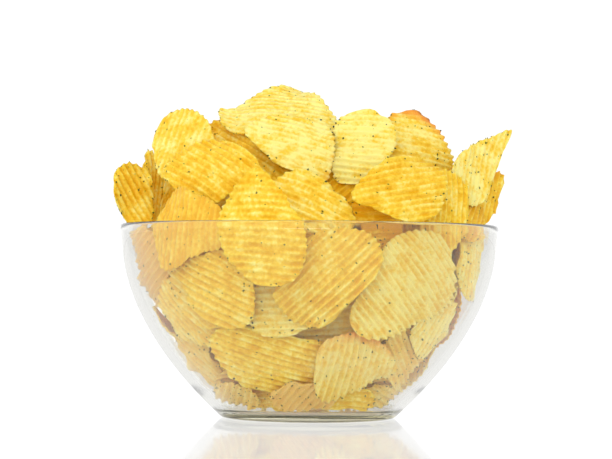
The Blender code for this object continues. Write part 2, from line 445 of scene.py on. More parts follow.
@dataclass
class GlassBowl:
    """A turned glass bowl, with the sizes of its CAD node and a finer surface.

    All lengths are in metres. inside_from is how far over the floor the curve of the inside
    starts, and outside_to is the height at which that of the outside ends.
    """

    rim_radius: float
    height: float
    foot_radius: float = 0.0458
    floor_thickness: float = 0.0055
    wall_at_rim: float = 0.0032
    floor_radius: float = 0.0459
    wall_curve: float = 2.04
    foot_corner: float = 0.0040
    floor_corner: float = 0.0070
    inside_from: float = 0.012
    outside_to: float = 0.009
    turn_steps: int = 160
    wall_steps: int = 36
    corner_steps: int = 8
    lip_steps: int = 12

    def outer_radius(self, height: float) -> float:
        """Radius of the outside at a height."""
        rise = min(max(height / self.height, 0.0), 1.0)
        spread = self.rim_radius - self.foot_radius
        return self.foot_radius + spread * (1.0 - (1.0 - rise) ** self.wall_curve)

    def inner_radius(self, height: float) -> float:
        """Radius of the inside at a height."""
        rise = (height - self.floor_thickness) / (self.height - self.floor_thickness)
        rise = min(max(rise, 0.0), 1.0)
        spread = self.rim_radius - self.wall_at_rim - self.floor_radius
        return self.floor_radius + spread * (1.0 - (1.0 - rise) ** self.wall_curve)

    def corner(self, before: tuple, at: tuple, after: tuple, radius: float) -> list[tuple]:
        """Round a corner of the profile between two straight stretches.

        Args:
            before: a point on the stretch that comes in.
            at: the corner.
            after: a point on the stretch that goes out.
            radius: the arc's radius.

        Returns:
            Points along the arc.
        """
        corner = Vector(at)
        back = (Vector(before) - corner).normalized()
        ahead = (Vector(after) - corner).normalized()
        half = back.angle(ahead) / 2.0
        reach = radius / tan(half)
        middle = corner + (back + ahead).normalized() * (radius / sin(half))
        start = corner + back * reach - middle
        end = corner + ahead * reach - middle
        first = start.angle_signed(Vector((1.0, 0.0)))
        last = first - start.angle_signed(end)
        return [
            (middle.x + radius * cos(angle), middle.y + radius * sin(angle))
            for angle in steps(first, last, self.corner_steps)
        ]

    def profile(self) -> list[tuple]:
        """Radius and height from the floor's middle, over the lip, to the underside's middle.

        Returns:
            Points from the axis to the axis.
        """
        lip = self.wall_at_rim / 2.0
        lip_height = self.height - lip
        lowest = self.floor_thickness + self.inside_from
        inside = [(self.inner_radius(z), z) for z in steps(lowest, lip_height, self.wall_steps)]
        outside = [
            (self.outer_radius(z), z) for z in steps(lip_height, self.outside_to, self.wall_steps)
        ]
        arc = [
            (self.rim_radius - lip + lip * cos(angle), lip_height + lip * sin(angle))
            for angle in steps(pi, 0.0, self.lip_steps)[1:-1]
        ]
        floor_corner = (self.floor_radius, self.floor_thickness)
        foot_corner = (self.foot_radius, 0.0)
        points = [(0.0, self.floor_thickness)]
        points += self.corner(points[0], floor_corner, inside[0], self.floor_corner)
        points += inside + arc + outside
        points += self.corner(outside[-1], foot_corner, (0.0, 0.0), self.foot_corner)
        return points + [(0.0, 0.0)]

    def build(self) -> bpy.types.Object:
        """Turn the profile about Z and dress it as glass.

        Returns:
            The bowl.
        """
        profile = self.profile()
        ring_points = profile[1:-1]
        points = [(0.0, 0.0, profile[0][1]), (0.0, 0.0, profile[-1][1])]
        for turn in range(self.turn_steps):
            angle = 2.0 * pi * turn / self.turn_steps
            points += [(r * cos(angle), r * sin(angle), z) for r, z in ring_points]
        count = len(ring_points)
        faces = []
        for turn in range(self.turn_steps):
            here = 2 + turn * count
            there = 2 + (turn + 1) % self.turn_steps * count
            faces.append((0, here, there))
            faces.append((1, there + count - 1, here + count - 1))
            for row in range(count - 1):
                faces.append((here + row, here + row + 1, there + row + 1, there + row))
        bowl = mesh_object("glass_bowl", np.array(points), faces)
        bowl.data.materials.append(SodaLimeGlass().material())
        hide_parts("bowl")
        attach(bowl, "root")
        return bowl


# ----------------------------------------------------------------------------------------
# Crisps
# ----------------------------------------------------------------------------------------


class Fry(Enum):
    """How far a crisp was fried, from hardly at all to deep, and a palest level that is painted light."""

    # Paler than any fry: lightens a crisp that lies dim, as painted light.
    PALEST_PAINTED_LIGHT = 0.06
    PALE = 0.20
    LIGHT = 0.38
    GOLDEN = 0.54
    RICH = 0.72
    DEEP = 0.90


@dataclass(frozen=True)
class RidgeCut:
    """What the ridged blade and the fryer give every crisp.

    Lengths are in millimetres and toast_reach is in degrees. wobble is how far ridges stray
    sideways, sharpness makes crests narrower than troughs, fading is how unevenly they stand
    out, and thinning is the share of the thickness that the rim lacks. proxy_half is half the
    thickness of a stand-in, and softening is how many steps round a given outline are evened.
    """

    pitch: float = 3.4
    depth: float = 0.56
    thickness: float = 1.25
    row_step: float = 0.48
    columns: int = 13
    scallop: float = 0.42
    warp: float = 0.55
    warp_in_middle: float = 0.4
    warp_towards_rim: float = 0.8
    flutter: float = 0.9
    flutter_lobes: tuple[int, ...] = (2, 3, 4, 6)
    blister: float = 0.26
    proxy_half: float = 0.75
    wobble: float = 0.45
    sharpness: float = 0.12
    fading: float = 0.4
    thinning: float = 0.45
    scallop_lag: float = 0.4
    rough: float = 0.07
    first_row: float = 0.12
    fewest_rows: int = 6
    toast_reach: float = 95.0
    rim_toast: float = 0.16
    squareness: tuple[float, float] = (2.0, 2.35)
    outline_lobes: tuple = ((2, 0.030), (3, 0.038), (4, 0.022), (5, 0.015), (7, 0.009))
    softening: int = 14
    bend_steps: int = 161


@dataclass(frozen=True)
class Crisp:
    """One crisp: where it lies, how large it is, and how it curled.

    Lengths are in millimetres and angles in degrees. yaw turns the face from the front to
    the right, pitch turns it up, and spin turns the long way up from level, as seen from
    in front of the face. ridge is the ridges' own angle up from level. bow and cup are
    curvatures per metre along and across the length, positive where the face is hollow.
    roll is the extra curvature of the far end of the length, from roll_from outwards.
    toast browns the rim towards toast_at, an angle from the length. push is how much the
    ridges stand out, against the usual. seen, where it is given, is the outline as it looks
    from the front, to the right and up from the middle, and ridge is then the angle at which
    the ridges look to run; length and width are only rough.
    """

    x: float
    y: float
    z: float
    yaw: float
    pitch: float
    spin: float
    length: float
    width: float
    ridge: float
    bow: float = -6.0
    cup: float = -6.0
    roll: float = 0.0
    roll_from: float = 12.0
    egg: float = 0.0
    seen: tuple[tuple[float, float], ...] = ()
    fry: Fry = Fry.LIGHT
    blush: float = 0.0
    toast: float = 0.15
    toast_at: float = 0.0
    push: float = 1.0
    seed: int = 0

    def flattened(self, points: np.ndarray) -> np.ndarray:
        """Lay what is seen from the front down in the crisp's own plane.

        Args:
            points: rows of distances to the right and up, as seen from the front.

        Returns:
            Rows of distances along and across the crisp's length.
        """
        matrix = np.array(self.matrix())
        away = EYE_DISTANCE + self.y
        slant = np.array([self.x / away, (self.z - EYE_HEIGHT) / away])
        seen = matrix[[0, 2], :2] - slant[:, None] * matrix[1, :2][None, :]
        return points * (away / SIGHT) @ np.linalg.inv(seen).T

    def matrix(self) -> Matrix:
        """Place of the crisp, with x along its length and z out of its face."""
        yaw, pitch, spin = radians(self.yaw), radians(self.pitch), radians(self.spin)
        level = Vector((cos(yaw), sin(yaw), 0.0))
        face = Vector((sin(yaw) * cos(pitch), -cos(yaw) * cos(pitch), sin(pitch)))
        upward = face.cross(level)
        along = level * cos(spin) + upward * sin(spin)
        across = upward * cos(spin) - level * sin(spin)
        matrix = Matrix((along, across, face)).transposed().to_4x4()
        matrix.translation = (self.x * MM, self.y * MM, self.z * MM)
        return matrix


@dataclass(frozen=True)
class Unevenness:
    """How one slice differs from a flat and even one: plane waves, lobes and a phase."""

    wobble: list[tuple]
    warp: list[tuple]
    blister: list[tuple]
    fade: list[tuple]
    flutter: list[tuple]
    phase: float


@dataclass(frozen=True)
class SliceGrid:
    """Points of a slice before it curls, in rows along the ridges.

    p is the place across the ridges, u and v are along and across the length, turn is the
    angle from the length, and edge is the share of the way from the middle to the rim.
    """

    p: np.ndarray
    u: np.ndarray
    v: np.ndarray
    turn: np.ndarray
    edge: np.ndarray
    rows: int


@dataclass
class CrispMesh:
    """The points, faces and painted values of one crisp."""

    points: np.ndarray
    faces: np.ndarray
    look: np.ndarray
    hue: np.ndarray
    normals: np.ndarray
    face_count: int


class CrispCutter:
    """Cuts, fries and curls crisps."""

    def __init__(self, cut: RidgeCut) -> None:
        """Keep what every crisp shares."""
        self.cut = cut

    def outline(self, crisp: Crisp, source: random.Random) -> np.ndarray:
        """Distance of the slice's edge from its middle, at even angles.

        Args:
            crisp: the crisp to cut.
            source: its own random numbers.

        Returns:
            One distance in millimetres for each angle from the length.
        """
        angle = np.linspace(0.0, 2.0 * pi, OUTLINE_STEPS, endpoint=False)
        if crisp.seen:
            return self.given_outline(crisp, angle)
        square = source.uniform(*self.cut.squareness)
        along = np.abs(np.cos(angle) / (crisp.length / 2.0)) ** square
        across = np.abs(np.sin(angle) / (crisp.width / 2.0)) ** square
        reach = (along + across) ** (-1.0 / square)
        uneven = crisp.egg * np.cos(angle)
        for wave, size in self.cut.outline_lobes:
            uneven = uneven + size * source.uniform(0.3, 1.0) * np.cos(
                wave * angle + source.uniform(0.0, 2.0 * pi)
            )
        return reach * (1.0 + uneven)

    def given_outline(self, crisp: Crisp, angle: np.ndarray) -> np.ndarray:
        """Distance of the edge from the middle where the outline is given.

        Args:
            crisp: the crisp, with its seen outline.
            angle: even angles from the length.

        Returns:
            One distance in millimetres for each angle.
        """
        flat = crisp.flattened(np.array(crisp.seen))
        turns = np.arctan2(flat[:, 1], flat[:, 0]) % (2.0 * pi)
        order = np.argsort(turns)
        reach = np.interp(angle, turns[order], np.hypot(flat[:, 0], flat[:, 1])[order], period=2.0 * pi)
        spread = np.arange(-self.cut.softening, self.cut.softening + 1)
        weights = np.exp(-((2.0 * spread / self.cut.softening) ** 2))
        weights /= weights.sum()
        return sum(weight * np.roll(reach, int(shift)) for shift, weight in zip(spread, weights))

    def waves(
        self, source: random.Random, count: int, shortest: float, longest: float
    ) -> list[tuple]:
        """Random plane waves: two wave numbers per millimetre, a phase and a weight."""
        made = []
        for _ in range(count):
            size = 2.0 * pi / source.uniform(shortest, longest)
            turn = source.uniform(0.0, 2.0 * pi)
            phase = source.uniform(0.0, 2.0 * pi)
            made.append((size * cos(turn), size * sin(turn), phase, source.uniform(0.4, 1.0)))
        return made

    def ripple(self, waves: list[tuple], u: np.ndarray, v: np.ndarray) -> np.ndarray:
        """Sum of plane waves, between about -1 and 1."""
        total = np.zeros_like(u)
        for first, second, phase, weight in waves:
            total = total + weight * np.sin(first * u + second * v + phase)
        return total / sqrt(len(waves))

    def bend(
        self, u: np.ndarray, v: np.ndarray, h: np.ndarray, curvature: float, roll: float, start: float
    ) -> tuple[np.ndarray, np.ndarray]:
        """Roll a sheet up along u, keeping lengths along it.

        Args:
            u: places along the way that bends, in millimetres.
            v: places across it; not used.
            h: heights over the sheet.
            curvature: curvature per millimetre all over.
            roll: extra curvature past the start.
            start: where the roll starts.

        Returns:
            The new places along u and the new heights.
        """
        reach = float(np.abs(u).max()) + 1.0
        line = np.linspace(-reach, reach, self.cut.bend_steps)
        angle = curvature * line + roll * np.clip(line - start, 0.0, None)
        middle = len(line) // 2
        step = line[1] - line[0]
        run = np.concatenate([[0.0], np.cumsum((np.cos(angle[1:]) + np.cos(angle[:-1])) / 2.0) * step])
        rise = np.concatenate([[0.0], np.cumsum((np.sin(angle[1:]) + np.sin(angle[:-1])) / 2.0) * step])
        run -= run[middle]
        rise -= rise[middle]
        turned = np.interp(u, line, angle)
        new_u = np.interp(u, line, run) - h * np.sin(turned)
        new_h = np.interp(u, line, rise) + h * np.cos(turned)
        return new_u, new_h

    def make(self, crisp: Crisp, fine: float = 1.0, smooth: bool = False) -> CrispMesh:
        """Cut and curl one crisp.

        Args:
            crisp: the crisp to make.
            fine: below 1 takes larger steps across the ridges.
            smooth: leaves the ridges out, for trying whether crisps touch.

        Returns:
            Its mesh, in metres and in place.
        """
        source = random.Random(crisp.seed * 7919 + 13)
        reach = self.outline(crisp, source)
        uneven = self.unevenness(source)
        grid = self.lay_rows(crisp, reach, uneven.phase, fine, source)
        across = grid.p + self.cut.wobble * self.ripple(uneven.wobble, grid.u, grid.v)
        swing = 2.0 * pi * across / self.cut.pitch + uneven.phase
        crest = np.cos(swing) + self.cut.sharpness * np.cos(2.0 * swing)
        sheet, half = self.relief(crisp, grid, uneven, crest, smooth)
        top = self.curl(crisp, grid.u, grid.v, sheet + half)
        under = self.curl(crisp, grid.u, grid.v, sheet - half)
        matrix = np.array(crisp.matrix())
        placed = np.concatenate([top, under]) * MM @ matrix[:3, :3].T + matrix[:3, 3]
        look, hue = self.painted(crisp, grid, crest)
        faces = self.faces(grid.rows, self.cut.columns)
        normals = self.grid_normals(top, under, grid.rows, self.cut.columns) @ matrix[:3, :3].T
        return CrispMesh(placed, faces, look, hue, normals, grid.rows * self.cut.columns)

    def unevenness(self, source: random.Random) -> Unevenness:
        """Draw how one slice differs from a flat and even one."""
        return Unevenness(
            wobble=self.waves(source, count=3, shortest=22.0, longest=48.0),
            warp=self.waves(source, count=4, shortest=26.0, longest=60.0),
            blister=self.waves(source, count=9, shortest=4.0, longest=10.0),
            fade=self.waves(source, count=3, shortest=18.0, longest=40.0),
            flutter=[
                (lobes, source.uniform(0.0, 2.0 * pi), source.uniform(0.3, 1.0))
                for lobes in self.cut.flutter_lobes
            ],
            phase=source.uniform(0.0, 2.0 * pi),
        )

    def lay_rows(
        self, crisp: Crisp, reach: np.ndarray, phase: float, fine: float, source: random.Random
    ) -> SliceGrid:
        """Lay rows of points along the ridges, from edge to edge.

        Args:
            crisp: the crisp.
            reach: distance of its edge at even angles.
            phase: of the ridges.
            fine: below 1 takes larger steps across the ridges.
            source: its own random numbers.

        Returns:
            The points.
        """
        cut = self.cut
        way = radians(crisp.ridge - crisp.spin)
        if crisp.seen:
            run = crisp.flattened(np.array([[cos(radians(crisp.ridge)), sin(radians(crisp.ridge))]]))
            way = float(np.arctan2(run[0, 1], run[0, 0]))
        angle = np.linspace(0.0, 2.0 * pi, OUTLINE_STEPS, endpoint=False)
        edge_u, edge_v = reach * np.cos(angle), reach * np.sin(angle)
        edge_p = -edge_u * sin(way) + edge_v * cos(way)
        edge_q = edge_u * cos(way) + edge_v * sin(way)
        low, high = int(np.argmin(edge_p)), int(np.argmax(edge_p))
        first = np.arange(low, low + (high - low) % OUTLINE_STEPS + 1) % OUTLINE_STEPS
        second = np.arange(high, high + (low - high) % OUTLINE_STEPS + 1) % OUTLINE_STEPS
        side_a = self.chain(edge_p[first], edge_q[first])
        side_b = self.chain(edge_p[second][::-1], edge_q[second][::-1])
        rows = max(int(ceil((edge_p[high] - edge_p[low]) / (cut.row_step / fine))), cut.fewest_rows)
        inset = cut.first_row * cut.row_step
        p = np.linspace(edge_p[low] + inset, edge_p[high] - inset, rows)
        q_a = np.interp(p, *side_a)
        q_b = np.interp(p, *side_b)
        lap = cut.scallop * np.cos(2.0 * pi * p / cut.pitch + phase + cut.scallop_lag)
        outward = 1.0 if q_a.mean() > q_b.mean() else -1.0
        rough = np.array([source.uniform(-cut.rough, cut.rough) for _ in range(2 * rows)])
        q_a = q_a + outward * (lap + rough[:rows])
        q_b = q_b - outward * (lap + rough[rows:])
        share = np.sin(np.linspace(-pi / 2.0, pi / 2.0, cut.columns))
        grid_p = np.repeat(p[:, None], cut.columns, axis=1)
        grid_q = (q_a + q_b)[:, None] / 2.0 + (q_a - q_b)[:, None] / 2.0 * share[None, :]
        u = -grid_p * sin(way) + grid_q * cos(way)
        v = grid_p * cos(way) + grid_q * sin(way)
        turn = np.arctan2(v, u) % (2.0 * pi)
        edge = np.hypot(u, v) / np.interp(turn, np.append(angle, 2.0 * pi), np.append(reach, reach[0]))
        return SliceGrid(grid_p, u, v, turn, np.clip(edge, 0.0, 1.0), rows)

    def relief(
        self, crisp: Crisp, grid: SliceGrid, uneven: Unevenness, crest: np.ndarray, smooth: bool
    ) -> tuple[np.ndarray, np.ndarray]:
        """Heights of the slice's middle over the flat, and half its thickness.

        Args:
            crisp: the crisp.
            grid: its points.
            uneven: how it differs from an even slice.
            crest: 1 on a ridge and -1 in a trough.
            smooth: leaves the ridges out.

        Returns:
            Heights and half thicknesses in millimetres.
        """
        cut = self.cut
        lumps = cut.warp * self.ripple(uneven.warp, grid.u, grid.v) * (
            cut.warp_in_middle + cut.warp_towards_rim * grid.edge
        )
        for lobes, beat, weight in uneven.flutter:
            lumps = lumps + cut.flutter * weight * grid.edge**2.5 * np.cos(lobes * grid.turn + beat)
        if smooth:
            return lumps, np.full_like(grid.u, cut.proxy_half)
        strength = crisp.push * (1.0 + cut.fading * self.ripple(uneven.fade, grid.u, grid.v))
        ridge = cut.depth * strength * crest
        bumps = cut.blister * self.ripple(uneven.blister, grid.u, grid.v)
        return ridge + lumps + bumps, 0.5 * cut.thickness * (1.0 - cut.thinning * grid.edge**6)

    def painted(
        self, crisp: Crisp, grid: SliceGrid, crest: np.ndarray
    ) -> tuple[np.ndarray, np.ndarray]:
        """Values that the finish colours the crisp by.

        Args:
            crisp: the crisp.
            grid: its points.
            crest: 1 on a ridge and -1 in a trough.

        Returns:
            Crest light, rim, fry and toast of each point, and its blush; the face before the back. Crest
            light is a painted highlight on ridges and painted shade in troughs.
        """
        near = np.abs((np.degrees(grid.turn) - crisp.toast_at + 180.0) % 360.0 - 180.0)
        browned = crisp.toast * np.clip(1.0 - near / self.cut.toast_reach, 0.0, 1.0) * grid.edge**3
        browned = browned + self.cut.rim_toast * min(crisp.toast + 0.2, 1.0) * grid.edge**10
        # crest light paints ridge tops paler and troughs deeper, on the face and on the back: a painted
        # highlight and painted shade.
        crest_light = 0.5 + 0.5 * crest / (1.0 + self.cut.sharpness)
        rim = grid.edge**4
        fry = np.full_like(grid.u, crisp.fry.value)
        face = np.stack([crest_light, rim, fry, browned], axis=-1)
        back = np.stack([1.0 - crest_light, rim, fry, browned], axis=-1)
        look = np.concatenate([face.reshape(-1, 4), back.reshape(-1, 4)])
        hue = np.zeros_like(look)
        hue[:, 0] = crisp.blush
        hue[:, 3] = 1.0
        return look, hue

    def chain(self, p: np.ndarray, q: np.ndarray) -> tuple[np.ndarray, np.ndarray]:
        """One side of the outline, with its p made to rise all the way."""
        rising = np.maximum.accumulate(p) + np.arange(len(p)) * 1e-6
        return rising, q

    def curl(self, crisp: Crisp, u: np.ndarray, v: np.ndarray, h: np.ndarray) -> np.ndarray:
        """Bend a sheet along and across its length.

        Args:
            crisp: its bow, cup and roll.
            u: places along the length, in millimetres.
            v: places across it.
            h: heights over the flat slice.

        Returns:
            Three columns of places in millimetres.
        """
        u = u.ravel()
        v = v.ravel()
        new_v, h = self.bend(v, u, h.ravel(), crisp.cup * MM, 0.0, 0.0)
        new_u, h = self.bend(u, v, h, crisp.bow * MM, crisp.roll * MM, crisp.roll_from)
        return np.stack([new_u, new_v, h], axis=-1)

    def faces(self, rows: int, columns: int) -> np.ndarray:
        """Quads of the face, the back and the rim of a crisp.

        Args:
            rows: rows of points across the ridges.
            columns: points along each row.

        Returns:
            One row of four vertex numbers for each quad.
        """
        index = np.arange(rows * columns).reshape(rows, columns)
        a, b = index[:-1, :-1].ravel(), index[:-1, 1:].ravel()
        c, d = index[1:, 1:].ravel(), index[1:, :-1].ravel()
        top = np.stack([a, b, c, d], axis=-1)
        under = np.stack([a, d, c, b], axis=-1) + rows * columns
        ring = np.concatenate([index[0, :-1], index[:-1, -1], index[-1, :0:-1], index[:0:-1, 0]])
        after = np.roll(ring, -1)
        rim = np.stack([ring, ring + rows * columns, after + rows * columns, after], axis=-1)
        return np.concatenate([top, under, rim])

    def grid_normals(self, top: np.ndarray, under: np.ndarray, rows: int, columns: int) -> np.ndarray:
        """Unit normals of the face and the back, from how the grids run.

        Args:
            top: points of the face.
            under: points of the back.
            rows: rows of points.
            columns: points along each row.

        Returns:
            One normal for each point, the face's before the back's.
        """
        found = []
        for points, side in ((top, 1.0), (under, -1.0)):
            grid = points.reshape(rows, columns, 3)
            down = np.gradient(grid, axis=0)
            right = np.gradient(grid, axis=1)
            normal = np.cross(right, down) * side
            normal /= np.linalg.norm(normal, axis=-1, keepdims=True) + 1e-12
            found.append(normal.reshape(-1, 3))
        both = np.concatenate(found)
        towards = np.concatenate([top - under, under - top])
        flip = np.sign(np.sum(both * towards, axis=1, keepdims=True))
        return both * np.where(flip == 0.0, 1.0, flip)


# Outlines of crisps laid one by one, as they look from the front: to the right and up from
# the crisp's place, in millimetres at the distance SIGHT.
NARROW_TOPPED = (
    (23, -7), (22, -17), (17, -26.5), (11.5, -29), (4, -29.5), (-2.5, -28.5), (-10.5, -21), (-17.5, -11.5),
    (-21, -2), (-21, 4), (-17.5, 14), (-10.5, 23), (-3.5, 29.5), (0.5, 29), (7.5, 21), (15, 10), (21.5, 1),
)
ACROSS_THE_RIM = (
    (14, 8.5), (17, -2), (13.5, -8), (6, -10), (-1.5, -13.5), (-9, -19), (-14, -20), (-18, -13),
    (-20.5, -5.5), (-21, 2), (-20, 9.5), (-17.5, 16), (-13, 21), (-6.5, 22), (1, 17.5), (8.5, 15),
)
LEFT_SHOULDER = (
    (26, 0), (24, 2.5), (20, 7.5), (15, 12.5), (9, 15.5), (1, 16), (-5, 14), (-10, 11), (-17.5, 8),
    (-23.5, 4), (-24.5, -2), (-21, -7), (-16, -11), (-11, -15.5), (-5, -17.5), (2.5, -17), (9, -12),
    (17.5, -6),
)
SCALLOPED = (
    (14, 5), (15, -2.5), (9, -15), (-1, -20), (-8.5, -20), (-13.5, -14), (-15, -6), (-15.5, 2),
    (-13, 8), (-9.5, 13), (-5, 15.5), (0.5, 16), (5.5, 14.5), (10, 12), (13, 8.5),
)
CROWN = (
    (29, -2.5), (26, 0.5), (22, 4), (18, 7.5), (12.5, 11), (5.5, 13.5), (-1, 11.5), (-8, 9), (-14, 5.5),
    (-19, 3), (-24, 1), (-29, 0), (-29.5, -5), (-28, -9.5), (-21.5, -11), (-11.5, -9.5), (0, -9.5),
    (11, -10.5), (20, -11), (27.5, -11), (29, -6),
)
UNDER_THE_CROWN = (
    (20.5, 6.5), (21, 0.5), (20, -6), (19, -11), (17, -16), (11.5, -15), (5.5, -12.5), (-1.5, -10.5),
    (-7.5, -7), (-13.5, -2.5), (-19, 2.5), (-24.5, 8.5), (-18.5, 15), (-1, 18), (16.5, 15),
)
RED_FLECKED = (
    (22.5, -11), (20, -5), (16.5, 0), (11.5, 5), (6.5, 9), (-1, 12.5), (-10, 15), (-16, 13), (-21, 9),
    (-22, 2.5), (-18.5, -6), (-11, -13), (-1, -16), (11.5, -16), (19, -15),
)
UPRIGHT = (
    (14.5, 14), (17, 6), (15, -1.5), (10.5, -7.5), (4, -13.5), (-2, -17.5), (-8.5, -18), (-13, -17),
    (-15, -11.5), (-14.5, -4), (-14, 4.5), (-13, 14.5), (-9.5, 18), (-3, 18.5), (4, 18.5), (10, 16),
)
TOASTED = (
    (17.5, -7.5), (15, -3), (12.5, 1), (10, 5.5), (7, 10), (3, 13.5), (-2.5, 16.5), (-8.5, 16.5),
    (-14.5, 15), (-16, 10), (-17.5, 1), (-16, -9), (-10, -15), (2.5, -18), (12.5, -18), (15.5, -13),
)
RIGHT_SHOULDER = (
    (22, 2.5), (21.5, -5), (19, -12), (13, -15.5), (5, -17), (-2.5, -16), (-8, -12.5), (-15, -9),
    (-23, -7), (-25, -3), (-22, 2), (-17, 7.5), (-11, 11.5), (-3.5, 15), (5, 16.5), (14, 15.5), (20, 11),
)
DEEP_FRIED = (
    (11, -6.5), (6, -14), (2.5, -16.5), (-1.5, -11.5), (-8, -4), (-12, 3.5), (-13, 10), (-6.5, 13),
    (3.5, 11), (10, 5), (12.5, -1),
)
HORN = (
    (16.5, 18), (14, 12.5), (12, 6.5), (9.5, -1), (7.5, -8.5), (5, -16), (0, -19), (-6, -17), (-11, -12),
    (-13.5, -6), (-12, 0), (-8.5, 5), (-4.5, 9), (0.5, 12), (6, 14.5), (11, 17), (14, 20),
)
FOLDED = (
    (6.5, 5), (7, 9.5), (5, 14), (1, 14), (-2, 9), (-5, 0), (-8, -7.5), (-9, -14), (-2.5, -14),
    (0.5, -8), (4.5, -1.5),
)
LOW_RIGHT = (
    (11, -4), (9, 4.5), (4.5, 9.5), (-5.5, 12), (-9, 7), (-9.5, -0.5), (-8, -8), (-0.5, -12), (8, -10),
)
EAR = (
    (8, 3.5), (6.5, 10), (3.5, 13), (0, 14.5), (-3.5, 15.5), (-7, 14), (-10, 10), (-11, 4.5), (-11, -1.5),
    (-9, -6.5), (-6, -10.5), (-2, -15.5), (1.5, -19), (6.5, -18), (8.5, -11.5), (8.5, -4),
)
EDGE_ON = (
    (4.5, 10), (4, 0), (3.5, -10), (3, -20), (-1, -23), (-3, -15), (-5, -5), (-5, 3.5), (-3, 12.5),
    (-0.5, 18.5), (2.5, 17.5),
)
PINK = (
    (7.5, 5), (7.5, -6.5), (6.5, -16.5), (2.5, -18), (-1, -15.5), (-2.5, -9), (-4.5, 0), (-6.5, 8.5),
    (-8.5, 15), (-7.5, 20), (-2.5, 21), (3, 16),
)
LEFT_CHEEK = (
    (21, -5), (20, -14), (16, -18.5), (8, -18.5), (1, -15), (-5, -11), (-10, -5.5), (-13.5, 0.5),
    (-17.5, 4.5), (-21.5, 7.5), (-16.5, 12.5), (-10, 15.5), (-2.5, 17.5), (6, 20), (13.5, 16), (19, 6),
)
SLANTED = (
    (20, -10), (16, -7), (9, -3), (3, 1.5), (-2, 7.5), (-6, 13), (-11, 16.5), (-14.5, 14.5), (-15, 7.5),
    (-13.5, 1), (-10.5, -5.5), (-6, -10.5), (1, -14), (8.5, -16), (16, -15.5),
)
LOWEST_LEFT = (
    (15.5, -13), (12, -8), (7.5, -3), (3.5, 3.5), (0, 10), (-6.5, 13.5), (-14, 12.5), (-12.5, 7.5),
    (-7.5, 1), (-2.5, -5), (3, -11), (9.5, -15),
)
LONG_LOW = (
    (32, 0.5), (30.5, -9.5), (26, -17.5), (17, -17.5), (7, -15), (-2, -12.5), (-10.5, -10), (-18, -5.5),
    (-24, 0), (-28.5, 6.5), (-29.5, 12.5), (-25.5, 17.5), (-18, 19.5), (-8, 17.5), (3, 14.5), (14.5, 13),
    (27, 11),
)
BROAD = (
    (27.5, 10.5), (24, 2.5), (19, -5), (12, -10.5), (6, -17), (1, -22.5), (-5, -25.5), (-12.5, -24.5),
    (-19, -22), (-23.5, -16.5), (-27.5, -10), (-26.5, -5.5), (-21.5, 1.5), (-17.5, 10), (-13, 17.5),
    (-6.5, 22.5), (2, 24.5), (11, 24.5), (19, 23), (25, 17.5),
)
FAN = (
    (26, -2.5), (22, -10), (14.5, -14.5), (7, -17.5), (-1, -21.5), (-8, -24.5), (-15, -27), (-21.5, -26.5),
    (-25.5, -21), (-25.5, -12.5), (-22, -5.5), (-18.5, 1), (-17, 9), (-14.5, 14.5), (-9, 21), (-1, 25.5),
    (9, 27), (19, 24.5), (24, 16.5), (25.5, 6.5),
)
RIGHT_EDGE = (
    (7, 15.5), (4, 4), (2.5, -4.5), (0.5, -16), (-3, -17), (-6, -9.5), (-7, 2), (-6, 13), (-1, 18),
)
SPOTTED = (
    (12, 12), (8.5, 4), (4.5, -3.5), (0, -10), (-5, -15), (-9, -12), (-10, -5), (-8.5, 3), (-5, 9),
    (2.5, 14),
)
NEAR_THE_FLOOR = (
    (8, 9), (7, 1.5), (3.5, -5), (-1, -11), (-5, -15), (-8, -11), (-9, -1), (-10, 6.5), (-6.5, 11.5),
    (0, 15), (5.5, 14),
)
SHELL = (
    (21, 0), (19, -5), (13, -7), (5, -9.5), (-2.5, -12.5), (-8.5, -16.5), (-13.5, -18), (-18, -15.5),
    (-19, -9), (-18.5, -1), (-17.5, 7), (-13.5, 12.5), (-7, 15), (0, 16), (6.5, 15.5), (13, 12), (18, 7),
)

